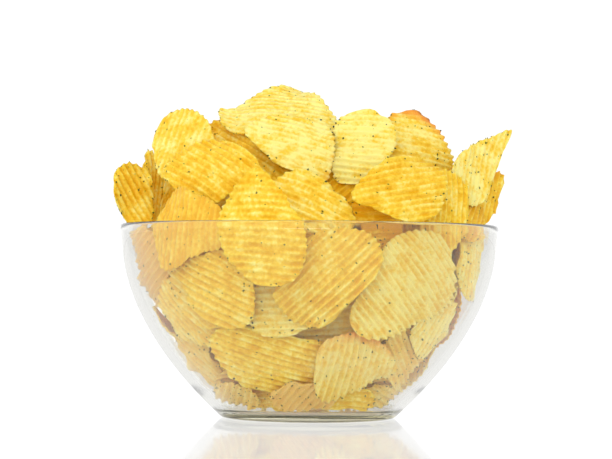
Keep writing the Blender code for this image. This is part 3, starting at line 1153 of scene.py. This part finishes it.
# The crisps laid one by one, each before those that it covers: place, yaw, pitch, spin, length,
# width, ridge, bow and cup, and then what is named.
AT_THE_FRONT = (
    Crisp(
        -25.5, -90, 98.8, -14, 4, 92, 57, 42, -4, -6, -8,
        seen=NARROW_TOPPED, fry=Fry.GOLDEN, push=0.6, seed=8,
    ),
    Crisp(
        46.2, -69, 119.3, 22, 26, 10, 51, 43, 9, -6, -8,
        seen=RIGHT_SHOULDER, fry=Fry.GOLDEN, seed=12,
    ),
    Crisp(
        23.9, -62, 29.8, 18, -32, 24, 46, 40, 74, -6, -9,
        seen=SHELL, fry=Fry.PALE, blush=0.3, toast=1.0, toast_at=60, push=0.9, seed=34,
    ),
    Crisp(
        9.2, -83, 73.7, -4, -8, 42, 66, 44, 43, -7, -6,
        seen=BROAD, fry=Fry.GOLDEN, blush=0.15, toast=0.2, toast_at=-80, seed=28,
    ),
    Crisp(
        52, -69, 70.6, 34, -8, 40, 60, 50, -55, -8, -8,
        seen=FAN, fry=Fry.PALE, blush=0.2, toast=0.25, toast_at=170, push=1.2, seed=29,
    ),
    Crisp(
        -21.7, -62, 29.4, -14, -36, -16, 62, 42, -16, -6, -9,
        seen=LONG_LOW, fry=Fry.GOLDEN, toast=0.25, toast_at=170, push=1.1, seed=26,
    ),
    Crisp(-14, -72, 61, -10, -6, 0, 36, 34, 2, -4, -6, fry=Fry.PALE, blush=0.2, seed=27),
    Crisp(11, -60, 51, 4, -18, 0, 58, 36, 3, -4, -6, fry=Fry.LIGHT, blush=0.15, seed=51),
    # Fried rich so that it looks darker below the rim: a painted shade.
    Crisp(
        -60.3, -70, 97, -38, 6, 80, 50, 42, 84, -5, -12,
        seen=ACROSS_THE_RIM, fry=Fry.RICH, blush=0.2, push=0.55, seed=5,
    ),
    Crisp(
        -50.3, -50, 129, -18, 32, -30, 52, 44, -32, -9, -10,
        seen=LEFT_SHOULDER, fry=Fry.GOLDEN, seed=4,
    ),
    Crisp(
        -50.3, -70, 67.3, -32, -10, -50, 48, 40, -28, -6, -9,
        seen=LEFT_CHEEK, fry=Fry.GOLDEN, blush=0.12, seed=22,
    ),
    Crisp(
        -54.7, -62, 72.3, -34, -6, -50, 48, 42, -30, -6, -8,
        fry=Fry.LIGHT, blush=0.3, toast=0.8, toast_at=170, seed=23,
    ),
    Crisp(
        -60.7, -60, 56.2, -50, -20, -46, 54, 34, -46, -5, -9,
        seen=SLANTED, fry=Fry.LIGHT, blush=0.3, toast=0.4, toast_at=180, push=0.7, seed=24,
    ),
    Crisp(
        1.3, -74, 112.3, 5, 30, -22, 54, 40, -24, -6, -6,
        seen=RED_FLECKED, fry=Fry.LIGHT, toast=0.2, toast_at=150, push=0.9, seed=9,
    ),
    Crisp(
        34.3, -64, 101.8, 18, 14, 0, 46, 36, 0, -6, -6,
        seen=DEEP_FRIED, fry=Fry.DEEP, push=0.6, seed=13,
    ),
    Crisp(69, -48, 108, 32, 14, 70, 44, 30, 82, -6, -6, fry=Fry.GOLDEN, seed=14),
    Crisp(
        66.6, -46, 48.6, 52, -22, 60, 48, 38, 60, -5, -9,
        seen=SPOTTED, fry=Fry.PALE, blush=0.2, push=0.7, seed=32,
    ),
    Crisp(
        49.9, -52, 33.6, 42, -32, 70, 46, 32, -70, -5, -9,
        seen=NEAR_THE_FLOOR, fry=Fry.LIGHT, blush=0.4, seed=33,
    ),
    Crisp(
        -16.4, -12, 162.7, -4, 52, 183, 62, 46, -3, -5, -8,
        roll=50, roll_from=18, seen=CROWN, fry=Fry.PALE, push=0.45, toast=0.05, seed=6,
    ),
    Crisp(
        -8.9, -38, 140.1, 4, 40, -20, 56, 44, -16, -6, -6,
        seen=UNDER_THE_CROWN, fry=Fry.PALE, push=0.5, toast=0.4, seed=7,
    ),
    # Fried palest so that it looks as bright as the lit crisps round it: painted light.
    Crisp(
        27.1, -34, 141.2, 8, 34, 85, 50, 44, -4, -6, -8,
        seen=UPRIGHT, fry=Fry.PALEST_PAINTED_LIGHT, push=0.9, seed=10,
    ),
    Crisp(
        58, -14, 145.2, 25, 25, 70, 50, 42, -10, -6, -12,
        seen=TOASTED, fry=Fry.LIGHT, toast=1.25, toast_at=0, push=0.8, seed=11,
    ),
    Crisp(
        -66.3, -20, 145, -22, 26, 70, 50, 40, 70, -4, -8,
        seen=SCALLOPED, fry=Fry.LIGHT, push=0.35, seed=3,
    ),
    # Its golden fry is chosen lighter so that it looks brighter in the shade under the crown: painted
    # light.
    Crisp(-33, -26, 139.5, -18, 34, -35, 60, 30, -35, -6, -8, fry=Fry.GOLDEN, push=0.7, seed=35),
    Crisp(
        86.2, -15, 131.8, 44, 10, 56, 56, 36, 80, 8, 6,
        seen=HORN, fry=Fry.PALE, push=0.3, seed=15,
    ),
    Crisp(80.9, -32, 107.2, 40, 12, 60, 44, 34, 70, -6, -6, seen=LOW_RIGHT, fry=Fry.RICH, seed=17),
    Crisp(
        95.8, 0, 115.7, 60, 6, 74, 44, 32, 80, -6, -14,
        seen=FOLDED, fry=Fry.GOLDEN, toast=0.6, toast_at=30, seed=16,
    ),
    Crisp(
        -95, -4, 117.5, 26, 12, 78, 46, 34, 118, 2, 26,
        seen=EAR, fry=Fry.GOLDEN, toast=0.0, push=0.8, seed=1,
    ),
    Crisp(
        -84.2, 10, 122.4, 64, 8, 86, 50, 34, 86, -6, 8,
        seen=EDGE_ON, fry=Fry.GOLDEN, push=1.3, seed=2,
    ),
    Crisp(-74, -8, 116, -44, 10, 80, 50, 38, 80, -5, -8, fry=Fry.GOLDEN, seed=39),
    Crisp(17, -48, 115, 10, 20, 40, 44, 36, 40, -5, -8, fry=Fry.DEEP, seed=45),
    Crisp(-4, -49, 115, -6, 70, 20, 52, 34, 60, -4, -5, fry=Fry.LIGHT, seed=46),
    Crisp(33, -41, 114, 30, 68, -30, 48, 34, 0, -4, -5, fry=Fry.GOLDEN, seed=47),
    Crisp(-38, -38, 114, -36, 68, 50, 48, 34, 30, -4, -5, fry=Fry.LIGHT, seed=48),
    Crisp(12, -34, 119, 10, 74, 80, 46, 38, 20, -4, -5, fry=Fry.LIGHT, seed=49),
    Crisp(
        -82.7, -24, 76.1, -66, -14, 84, 56, 38, 60, -4, -10,
        seen=PINK, fry=Fry.GOLDEN, blush=0.8, seed=21,
    ),
    Crisp(84.7, -20, 80.5, 70, -8, 86, 54, 36, 84, -4, -9, seen=RIGHT_EDGE, fry=Fry.LIGHT, seed=31),
    Crisp(-36, -32, 14, -48, -48, 6, 32, 20, 40, -4, -6, fry=Fry.LIGHT, blush=0.5, seed=40),
    Crisp(
        -20, -43, 13, -25, -50, -8, 34, 20, 10, -4, -6,
        fry=Fry.GOLDEN, blush=0.3, toast=0.6, seed=41,
    ),
    Crisp(-2, -47, 13, -3, -46, 5, 34, 21, 60, -4, -6, fry=Fry.LIGHT, blush=0.8, seed=42),
    Crisp(17, -44, 13, 21, -50, -6, 32, 20, 0, -4, -6, fry=Fry.GOLDEN, seed=43),
    Crisp(34, -33, 14, 46, -48, 4, 32, 20, -30, -4, -6, fry=Fry.LIGHT, blush=0.3, seed=44),
    Crisp(-30, -42, 14, -20, -58, 10, 50, 34, 20, -6, -6, fry=Fry.GOLDEN, blush=0.5, seed=36),
    Crisp(32, -40, 13, 32, -60, 0, 50, 34, 10, -6, -6, fry=Fry.GOLDEN, blush=0.3, seed=38),
    Crisp(
        -53.1, -46, 30.5, -46, -34, -45, 52, 34, -40, -5, -9,
        seen=LOWEST_LEFT, fry=Fry.LIGHT, blush=0.4, push=0.6, seed=25,
    ),
)


@dataclass(frozen=True)
class Ring:
    """A ring of places round the bowl's axis where crisps are tried, in mm and degrees."""

    radius: float
    height: float
    slope: float
    count: int
    turn: float


# The heap's outline from the front: distance to the right of the axis, and height.
SKYLINE = (
    (-103, 100), (-99, 128), (-92, 131), (-84, 141), (-77, 160), (-67, 162), (-58, 159), (-48, 152),
    (-44, 162), (-31, 168), (-11, 176), (5, 168), (14, 160), (43, 157), (48, 161), (58, 161), (69, 150),
    (78, 136), (91, 134), (96, 122), (101, 112), (104, 95),
)

# Rings of places for the other crisps: against the glass by height, count and turn, and over
# the heap.
AGAINST_THE_GLASS = ((9, 5, 30), (18, 7, 0), (34, 9, 20), (52, 11, 5), (70, 12, 18), (88, 13, 3))
ON_THE_HEAP = (
    Ring(91, 111, 14, 12, 0),
    Ring(80, 125, 28, 10, 12),
    Ring(62, 141, 42, 8, 5),
    Ring(38, 154, 58, 6, 20),
    Ring(12, 161, 76, 3, 40),
)


@dataclass(frozen=True)
class Strewn:
    """How the crisps that are not laid one by one may lie, in millimetres and degrees.

    facing is how far round from the front places are left to the crisps laid one by one, up
    to facing_top. Each layer starts layer_step deeper than the last and tries depths over
    layer_reach. inside_from is the first layer whose crisps are cut less finely.
    """

    lengths: tuple[float, float] = (42.0, 60.0)
    slimness: tuple[float, float] = (0.66, 0.88)
    bows: tuple[float, float] = (-9.0, 3.0)
    cups: tuple[float, float] = (-14.0, 4.0)
    pushes: tuple[float, float] = (0.6, 1.15)
    pitches: tuple[float, float] = (-60.0, 84.0)
    egg: float = 0.07
    stray: float = 0.3
    tilt: float = 16.0
    turn: float = 18.0
    lift: float = 8.0
    skin: float = 2.0
    lowest: float = 9.0
    off_the_glass: float = 3.0
    facing: float = 78.0
    facing_top: float = 158.0
    layer_step: int = 5
    layer_reach: int = 16
    depth_step: int = 3
    tries: int = 4
    seeds: int = 10000
    top_from: float = 96.0
    inside_from: int = 3
    inside_fineness: float = 0.7


@dataclass(frozen=True)
class HeapCore:
    """The lumpy body under the crisps, in millimetres."""

    low: float = 20.0
    shoulder: float = 84.0
    high: float = 106.0
    off_the_glass: float = 26.0
    lumps: float = 2.5
    narrow: float = 30.0
    around: int = 96
    up: int = 40
    seed: int = 5


@dataclass
class CrispHeap:
    """Every crisp in the bowl, the core that they lie on, and the herbs on them."""

    bowl: GlassBowl
    strewn: Strewn = Strewn()
    seed: int = 11
    layers: int = 4
    cutter: CrispCutter = field(default_factory=lambda: CrispCutter(RidgeCut()))
    placed: list[tuple[Crisp, int]] = field(default_factory=list)
    proxies: list[tuple[BVHTree, np.ndarray, np.ndarray]] = field(default_factory=list)

    def proxy(self, crisp: Crisp) -> tuple[BVHTree, np.ndarray, np.ndarray, np.ndarray]:
        """A plain stand-in for a crisp, for trying whether it touches others.

        Args:
            crisp: the crisp.

        Returns:
            Its tree of faces, its lowest and highest corner, and its points.
        """
        mesh = self.cutter.make(crisp, STAND_IN_FINENESS, smooth=True)
        tree = BVHTree.FromPolygons(mesh.points.tolist(), mesh.faces.tolist())
        return tree, mesh.points.min(axis=0), mesh.points.max(axis=0), mesh.points

    def room(self, points: np.ndarray) -> tuple[float, float]:
        """How far points reach into the glass.

        Args:
            points: the points of a crisp.

        Returns:
            The reach into the wall and the reach into the floor, in metres.
        """
        bowl = self.bowl
        low = points[points[:, 2] < bowl.height + OVER_RIM]
        if not len(low):
            return 0.0, 0.0
        rise = (low[:, 2] - bowl.floor_thickness) / (bowl.height - bowl.floor_thickness)
        spread = bowl.rim_radius - bowl.wall_at_rim - bowl.floor_radius
        wall = bowl.floor_radius + spread * (1.0 - (1.0 - np.clip(rise, 0.0, 1.0)) ** bowl.wall_curve)
        over = float((np.hypot(low[:, 0], low[:, 1]) - wall).max()) + CLEAR_OF_GLASS
        sunk = bowl.floor_thickness + CLEAR_OF_GLASS - float(low[:, 2].min())
        return max(over, 0.0), max(sunk, 0.0)

    def settle(self, crisp: Crisp) -> tuple[Crisp, tuple]:
        """Move a crisp inwards until it clears the glass.

        Args:
            crisp: the crisp as laid out.

        Returns:
            The same crisp, nearer to the bowl's axis where it has to be, and its stand-in.
        """
        stand_in = self.proxy(crisp)
        for _ in range(SETTLING_STEPS):
            over, sunk = self.room(stand_in[3])
            if max(over, sunk) <= SETTLED:
                break
            out = max(hypot(crisp.x, crisp.y), 1.0)
            shrink = 1.0 - over / MM / out
            crisp = replace(crisp, x=crisp.x * shrink, y=crisp.y * shrink, z=crisp.z + sunk / MM)
            stand_in = self.proxy(crisp)
        return crisp, stand_in

    def clashes(self, stand_in: tuple, enough: int = 1) -> int:
        """Count how often a crisp cuts into those already placed.

        Args:
            stand_in: the crisp's stand-in.
            enough: stops counting here.

        Returns:
            The number of pairs of faces that cross.
        """
        tree, low, high, _ = stand_in
        count = 0
        for other, other_low, other_high in self.proxies:
            if (low > other_high).any() or (high < other_low).any():
                continue
            count += len(tree.overlap(other))
            if count >= enough:
                return count
        return count

    def hides(self, stand_in: tuple) -> bool:
        """Whether a crisp stands before any of those chosen for the front.

        Args:
            stand_in: the crisp's stand-in.

        Returns:
            True where it would hide a part of one of them from the front.
        """
        eye = Vector((0.0, -EYE_DISTANCE * MM, EYE_HEIGHT * MM))
        for place in stand_in[3][:: len(stand_in[3]) // SIGHT_LINES]:
            point = Vector(place)
            for tree, _, _ in self.proxies[: len(AT_THE_FRONT)]:
                if tree.ray_cast(point, point - eye)[0] is not None:
                    return True
        return False

    def sticks_out(self, stand_in: tuple) -> bool:
        """Whether a crisp rises over the heap's outline as seen from the front.

        Args:
            stand_in: the crisp's stand-in.

        Returns:
            True where any part of it would show over the outline.
        """
        points = stand_in[3] / MM
        grown = EYE_DISTANCE / (EYE_DISTANCE + points[:, 1])
        across = points[:, 0] * grown
        height = EYE_HEIGHT + (points[:, 2] - EYE_HEIGHT) * grown
        outline = np.array(SKYLINE)
        return bool((height > np.interp(across, outline[:, 0], outline[:, 1])).any())

    def keep(self, crisp: Crisp, stand_in: tuple, layer: int) -> None:
        """Keep a crisp where it is."""
        self.placed.append((crisp, layer))
        self.proxies.append(stand_in[:3])

    def lay_in_front(self, crisp: Crisp) -> None:
        """Lay a chosen crisp, moved back from the front until it clears those before it.

        Args:
            crisp: the crisp as laid out.
        """
        best = None
        away = EYE_DISTANCE + crisp.y
        for back, (turn, tilt) in product(STEPS_BACK, LEANS):
            share = (away + back) / away
            moved = replace(
                crisp,
                x=crisp.x * share,
                y=crisp.y + back,
                z=EYE_HEIGHT + (crisp.z - EYE_HEIGHT) * share,
                yaw=crisp.yaw + turn,
                pitch=crisp.pitch + tilt,
            )
            tried, stand_in = self.settle(moved)
            count = self.clashes(stand_in, MANY_CROSSINGS)
            if best is None or count < best[0]:
                best = (count, tried, stand_in)
            if count == 0:
                break
        crossings, laid, stand_in = best
        drift = hypot(laid.x - crisp.x, laid.y - crisp.y)
        if crossings or drift > WORTH_LOGGING:
            log.info("crisp %d: %d crossings, moved %.0f mm", crisp.seed, crossings, drift)
        self.keep(laid, stand_in, 0)

    def rings(self) -> list[Ring]:
        """Rings against the glass and over the heap."""
        made = []
        for height, count, turn in AGAINST_THE_GLASS:
            here = self.bowl.inner_radius(height * MM) / MM
            above = self.bowl.inner_radius((height + 1.0) * MM) / MM
            slope = -float(np.degrees(np.arctan(above - here)))
            made.append(Ring(here - self.strewn.off_the_glass, height, slope, count, turn))
        return made + list(ON_THE_HEAP)

    def fill(self, layer: int, source: random.Random) -> int:
        """Lay more crisps all round, each against those already there.

        Args:
            layer: 0 for the outermost, then inwards.
            source: random numbers.

        Returns:
            How many found room.
        """
        found = 0
        for ring in self.rings():
            for number in range(ring.count):
                step = 360.0 / ring.count
                angle = ring.turn + (number + 0.5 * (layer % 2)) * step
                angle = angle + source.uniform(-self.strewn.stray, self.strewn.stray) * step
                if self.fill_place(ring, angle, layer, source):
                    found += 1
        return found

    def fill_place(self, ring: Ring, angle: float, layer: int, source: random.Random) -> bool:
        """Try to lay a crisp at one place of a ring.

        Args:
            ring: the ring.
            angle: degrees round the axis, from the front to the right.
            layer: how deep to start.
            source: random numbers.

        Returns:
            Whether a crisp found room.
        """
        habit = self.strewn
        length = source.uniform(*habit.lengths)
        look = self.random_look(source)
        facing = abs((angle + 180.0) % 360.0 - 180.0) < habit.facing
        if facing and layer == 0 and ring.height < habit.facing_top:
            return False
        slant, rise = cos(radians(ring.slope)), sin(radians(ring.slope))
        start = habit.layer_step * (layer + int(facing))
        depths = range(start, start + habit.layer_reach, habit.depth_step)
        for depth, _ in product(depths, range(habit.tries)):
            slope = ring.slope + source.uniform(-habit.tilt, habit.tilt)
            lift = source.uniform(-habit.lift, habit.lift)
            radius = ring.radius - (depth + habit.skin) * slant - lift * rise
            height = ring.height - (depth + habit.skin) * rise + lift * slant
            crisp = Crisp(
                x=radius * sin(radians(angle)),
                y=-radius * cos(radians(angle)),
                z=max(height, habit.lowest),
                yaw=angle + source.uniform(-habit.turn, habit.turn),
                pitch=float(np.clip(slope, *habit.pitches)),
                spin=source.uniform(0.0, 180.0),
                length=length,
                width=length * source.uniform(*habit.slimness),
                ridge=source.uniform(0.0, 180.0),
                bow=source.uniform(*habit.bows),
                cup=source.uniform(*habit.cups),
                seed=source.randrange(habit.seeds),
                **look,
            )
            tried, stand_in = self.settle(crisp)
            if self.sticks_out(stand_in) or self.hides(stand_in):
                continue
            if self.clashes(stand_in) == 0:
                self.keep(tried, stand_in, layer + 1)
                return True
        return False

    def random_look(self, source: random.Random) -> dict:
        """How a crisp that was not chosen one by one looks.

        Args:
            source: random numbers.

        Returns:
            Its fry, blush, toast and ridge strength.
        """
        fries = (Fry.PALE, Fry.LIGHT, Fry.GOLDEN, Fry.RICH, Fry.DEEP)
        return {
            "fry": source.choices(fries, (2.0, 5.0, 3.0, 1.5, 0.4))[0],
            "blush": source.choices((0.0, 0.25, 0.6), (6.0, 2.0, 1.0))[0],
            "toast": source.choices((0.05, 0.2, 0.6), (5.0, 3.0, 1.0))[0],
            "toast_at": source.uniform(0.0, 360.0),
            "push": source.uniform(*self.strewn.pushes),
            "egg": source.uniform(-self.strewn.egg, self.strewn.egg),
        }

    def build(self) -> None:
        """Place the crisps and make the pieces."""
        for crisp in AT_THE_FRONT:
            self.lay_in_front(crisp)
        source = random.Random(self.seed)
        for layer in range(self.layers):
            log.info("layer %d: %d crisps", layer, self.fill(layer, source))
        groups: dict[str, list] = {}
        for crisp, layer in self.placed:
            side = "front" if crisp.y < 0.0 else "back"
            level = "top" if crisp.z > self.strewn.top_from else "glass"
            inside = layer >= self.strewn.inside_from
            name = "crisps_inside" if inside else f"crisps_{level}_{side}"
            groups.setdefault(name, []).append((crisp, self.strewn.inside_fineness if inside else 1.0))
        finish = FriedPotato().material()
        flecks = HerbFlecks()
        for name, crisps in sorted(groups.items()):
            self.make_piece(name, crisps, finish, flecks)
        flecks.build()
        self.make_core(finish)

    def make_piece(
        self, name: str, crisps: list, finish: bpy.types.Material, flecks: "HerbFlecks"
    ) -> bpy.types.Object:
        """Join crisps into one piece and strew herbs on them.

        Args:
            name: the piece's name.
            crisps: its crisps, each with how finely it is cut.
            finish: the crisps' material.
            flecks: the herbs.

        Returns:
            The piece.
        """
        points, faces, look, hue = [], [], [], []
        start = 0
        for crisp, fine in crisps:
            mesh = self.cutter.make(crisp, fine)
            points.append(mesh.points)
            faces.append(mesh.faces + start)
            look.append(mesh.look)
            hue.append(mesh.hue)
            start += len(mesh.points)
            flecks.strew(mesh, crisp.seed)
        piece = mesh_object(name, np.concatenate(points), np.concatenate(faces).tolist())
        paint(piece.data, "look", np.concatenate(look))
        paint(piece.data, "hue", np.concatenate(hue))
        piece.data.materials.append(finish)
        dress_as_crisps(piece)
        log.info("%s: %d crisps, %d faces", name, len(crisps), len(piece.data.polygons))
        return piece

    def make_core(self, finish: bpy.types.Material) -> bpy.types.Object:
        """A lumpy body under the crisps, so that gaps between them look into more crisps.

        Args:
            finish: the crisps' material.

        Returns:
            The core.
        """
        core = HeapCore()
        source = random.Random(core.seed)
        waves = self.cutter.waves(source, count=8, shortest=14.0, longest=40.0)
        points = [(0.0, 0.0, core.low * MM)]
        faces = []
        for row in range(core.up):
            height = core.low + (core.high - 1.0 - core.low) * (row / (core.up - 1))
            wall = self.bowl.inner_radius(min(height, core.shoulder) * MM) / MM - core.off_the_glass
            past = max((height - core.shoulder) / (core.high - core.shoulder), 0.0)
            wall *= sqrt(max(1.0 - past**2, 0.0))
            for turn in range(core.around):
                angle = 2.0 * pi * turn / core.around
                lump = self.cutter.ripple(waves, np.array([wall * angle]), np.array([height]))[0]
                radius = max(wall + core.lumps * lump * min(wall / core.narrow, 1.0), 1.0)
                points.append((radius * cos(angle) * MM, radius * sin(angle) * MM, height * MM))
        points.append((0.0, 0.0, core.high * MM))
        top_row = 1 + (core.up - 1) * core.around
        for turn in range(core.around):
            after = (turn + 1) % core.around
            faces.append((0, 1 + after, 1 + turn))
            faces.append((len(points) - 1, top_row + turn, top_row + after))
            for here in range(1, top_row, core.around):
                above = here + core.around
                faces.append((here + turn, here + after, above + after, above + turn))
        piece = mesh_object("crisp_core", np.array(points), faces)
        paint(piece.data, "look", np.tile(np.array([0.0, 0.0, Fry.LIGHT.value, 0.0]), (len(points), 1)))
        paint(piece.data, "hue", np.tile(np.array([0.0, 0.0, 0.0, 1.0]), (len(points), 1)))
        piece.data.materials.append(finish)
        dress_as_crisps(piece)
        return piece


def dress_as_crisps(piece: bpy.types.Object) -> None:
    """Let a piece stand for the crisps of the frame."""
    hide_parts("crisps")
    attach(piece, "root")


@dataclass
class HerbFlecks:
    """Rubbed herbs that stick to the crisps, in millimetres.

    mostly_small is the power that makes large flakes rare, and swell is the share of a
    flake's width that is added to its thinnest height.
    """

    per_side: float = 44.0
    unevenly: tuple[float, float] = (0.6, 1.3)
    smallest: float = 0.45
    largest: float = 1.70
    mostly_small: float = 1.8
    slimness: tuple[float, float] = (0.35, 0.8)
    lift: float = 0.08
    thinnest: float = 0.14
    swell: float = 0.12
    points: list[np.ndarray] = field(default_factory=list)
    shades: list[float] = field(default_factory=list)

    def strew(self, mesh: CrispMesh, seed: int) -> None:
        """Put flecks on both sides of a crisp.

        Args:
            mesh: the crisp.
            seed: its own random seed.
        """
        source = random.Random(seed * 31 + 7)
        for side in range(2):
            for _ in range(int(self.per_side * source.uniform(*self.unevenly))):
                index = side * mesh.face_count + source.randrange(mesh.face_count)
                self.add(mesh.points[index], mesh.normals[index], source)

    def add(self, place: np.ndarray, normal: np.ndarray, source: random.Random) -> None:
        """Add a flake that lies on a face.

        Args:
            place: where it sticks, in metres.
            normal: out of the face.
            source: random numbers.
        """
        spread = source.random() ** self.mostly_small
        length = (self.smallest + (self.largest - self.smallest) * spread) * MM
        width = length * source.uniform(*self.slimness)
        normal = Vector(normal)
        along = normal.orthogonal().normalized()
        along.rotate(Matrix.Rotation(source.uniform(0.0, 2.0 * pi), 3, normal))
        across = normal.cross(along)
        middle = Vector(place) + normal * self.lift * MM
        high = normal * (self.thinnest * MM + self.swell * width)
        self.points.append(
            np.array(
                [
                    middle + along * length / 2.0,
                    middle + across * width / 2.0,
                    middle - along * length / 2.0,
                    middle - across * width / 2.0,
                    middle + high,
                    middle - high,
                ]
            )
        )
        self.shades.append(source.random())

    def build(self) -> bpy.types.Object:
        """Join the flakes into one piece.

        Returns:
            The piece.
        """
        faces = []
        for number in range(len(self.points)):
            start = 6 * number
            for side in range(4):
                after = (side + 1) % 4
                faces.append((start + side, start + after, start + 4))
                faces.append((start + after, start + side, start + 5))
        piece = mesh_object("herb_flecks", np.concatenate(self.points), faces)
        shades = np.repeat(np.array(self.shades), 6)
        paint(piece.data, "look", np.stack([shades, shades, shades, np.ones_like(shades)], axis=-1))
        piece.data.materials.append(DriedHerb().material())
        dress_as_crisps(piece)
        log.info("herb flecks: %d", len(self.points))
        return piece


# ----------------------------------------------------------------------------------------
# Studio
# ----------------------------------------------------------------------------------------


@dataclass
class Studio:
    """A white sheet, soft lamps and a camera on a long lens."""

    distance: float = EYE_DISTANCE * MM
    eye_height: float = EYE_HEIGHT * MM
    sideways: float = -0.00175
    tilt_up: float = 1.27
    roll: float = 0.42
    lens: float = 122.8
    fill_light: float = 0.42
    mirrored_in_front: float = 1.0
    mirrored_behind: float = 1.3
    bent_aside: float = 0.68
    bent_behind: float = 0.70
    background: float = 1.05
    sheet_reach: float = 3.0
    sheet_top: float = -0.0002
    aim_height: float = 0.09

    def build(self) -> None:
        """Set up the floor, the lamps, the surroundings and the camera."""
        self.add_floor()
        self.add_lamps()
        self.add_surroundings()
        self.add_camera()
        scene = bpy.context.scene
        scene.view_settings.view_transform = "Standard"
        scene.cycles.max_bounces = 24
        scene.cycles.glossy_bounces = 16
        scene.cycles.transmission_bounces = 20

    def add_floor(self) -> None:
        """Lay the white sheet just under the bowl."""
        corners = [(-1.0, -1.0), (1.0, -1.0), (1.0, 1.0), (-1.0, 1.0)]
        places = [(x * self.sheet_reach, y * self.sheet_reach, self.sheet_top) for x, y in corners]
        floor = mesh_object("floor", np.array(places), [(0, 1, 2, 3)])
        floor.data.materials.append(GlossAcrylic().material())

    def add_lamps(self) -> None:
        """Hang soft boxes over the bowl, before it, at both its sides and behind it."""
        lamps = (
            ("lamp_top", (-0.20, -0.55, 0.95), 0.8, 3.5),
            ("lamp_front", (-0.10, -1.60, 0.30), 0.9, 8.0),
            ("lamp_left", (-0.95, -0.55, 0.45), 0.7, 2.3),
            ("lamp_right", (0.95, -0.45, 0.40), 0.7, 2.0),
            ("lamp_behind", (0.30, 1.20, 0.75), 0.9, 3.6),
        )
        for name, place, size, power in lamps:
            light = bpy.data.lights.new(name, "AREA")
            light.shape = "SQUARE"
            light.size = size
            light.energy = power
            lamp = bpy.data.objects.new(name, light)
            lamp.location = place
            aim = Vector((0.0, 0.0, self.aim_height)) - Vector(place)
            lamp.rotation_euler = aim.to_track_quat("-Z", "Y").to_euler()
            lamp.visible_glossy = False
            bpy.context.scene.collection.objects.link(lamp)

    def add_surroundings(self) -> None:
        """White behind everything, greyer where the glass bends it, dimmer as a light."""
        world = bpy.data.worlds.new("white_studio")
        world.use_nodes = True
        tree = world.node_tree
        tree.nodes.clear()
        rays = add_node(tree, "ShaderNodeLightPath")
        way = add_node(tree, "ShaderNodeTexCoord")
        axes = add_node(tree, "ShaderNodeSeparateXYZ", {0: way.outputs["Generated"]})
        bent = add_node(
            tree,
            "ShaderNodeMapRange",
            {0: axes.outputs[1], 1: 0.2, 2: 1.0, 3: self.bent_aside, 4: self.bent_behind},
        )
        mirrored = add_node(
            tree,
            "ShaderNodeMapRange",
            {0: axes.outputs[1], 1: -0.3, 2: 0.3, 3: self.mirrored_in_front, 4: self.mirrored_behind},
        )
        strength: bpy.types.NodeSocket | float = self.fill_light
        for ray, brightness in (
            ("Is Glossy Ray", mirrored.outputs[0]),
            ("Is Transmission Ray", bent.outputs[0]),
            ("Is Camera Ray", self.background),
        ):
            mixed = add_node(tree, "ShaderNodeMix", {0: rays.outputs[ray], 2: strength, 3: brightness})
            strength = mixed.outputs[0]
        sky = add_node(tree, "ShaderNodeBackground", {0: linear("#ffffff"), 1: strength})
        add_node(tree, "ShaderNodeOutputWorld", {"Surface": sky.outputs[0]})
        bpy.context.scene.world = world

    def add_camera(self) -> None:
        """Put the camera level with the middle of the bowl, a metre off."""
        lens = bpy.data.cameras.new("camera")
        lens.lens = self.lens
        lens.sensor_width = 36.0
        lens.clip_start = 0.05
        camera = bpy.data.objects.new("camera", lens)
        turn = Matrix.Rotation(radians(90.0 + self.tilt_up), 4, "X") @ Matrix.Rotation(
            radians(self.roll), 4, "Z"
        )
        camera.matrix_world = Matrix.Translation((self.sideways, -self.distance, self.eye_height)) @ turn
        bpy.context.scene.collection.objects.link(camera)
        bpy.context.scene.camera = camera


def main() -> None:
    """Build the bowl, its crisps and the studio."""
    low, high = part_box("bowl")
    bowl = GlassBowl(rim_radius=(high.x - low.x) / 2.0, height=high.z)
    log.info("bowl: %s", bowl.build().name)
    heap = CrispHeap(bowl=bowl)
    heap.build()
    Studio().build()


if __name__ == "__main__":
    logging.basicConfig(level=logging.INFO, format="%(message)s")
    main()
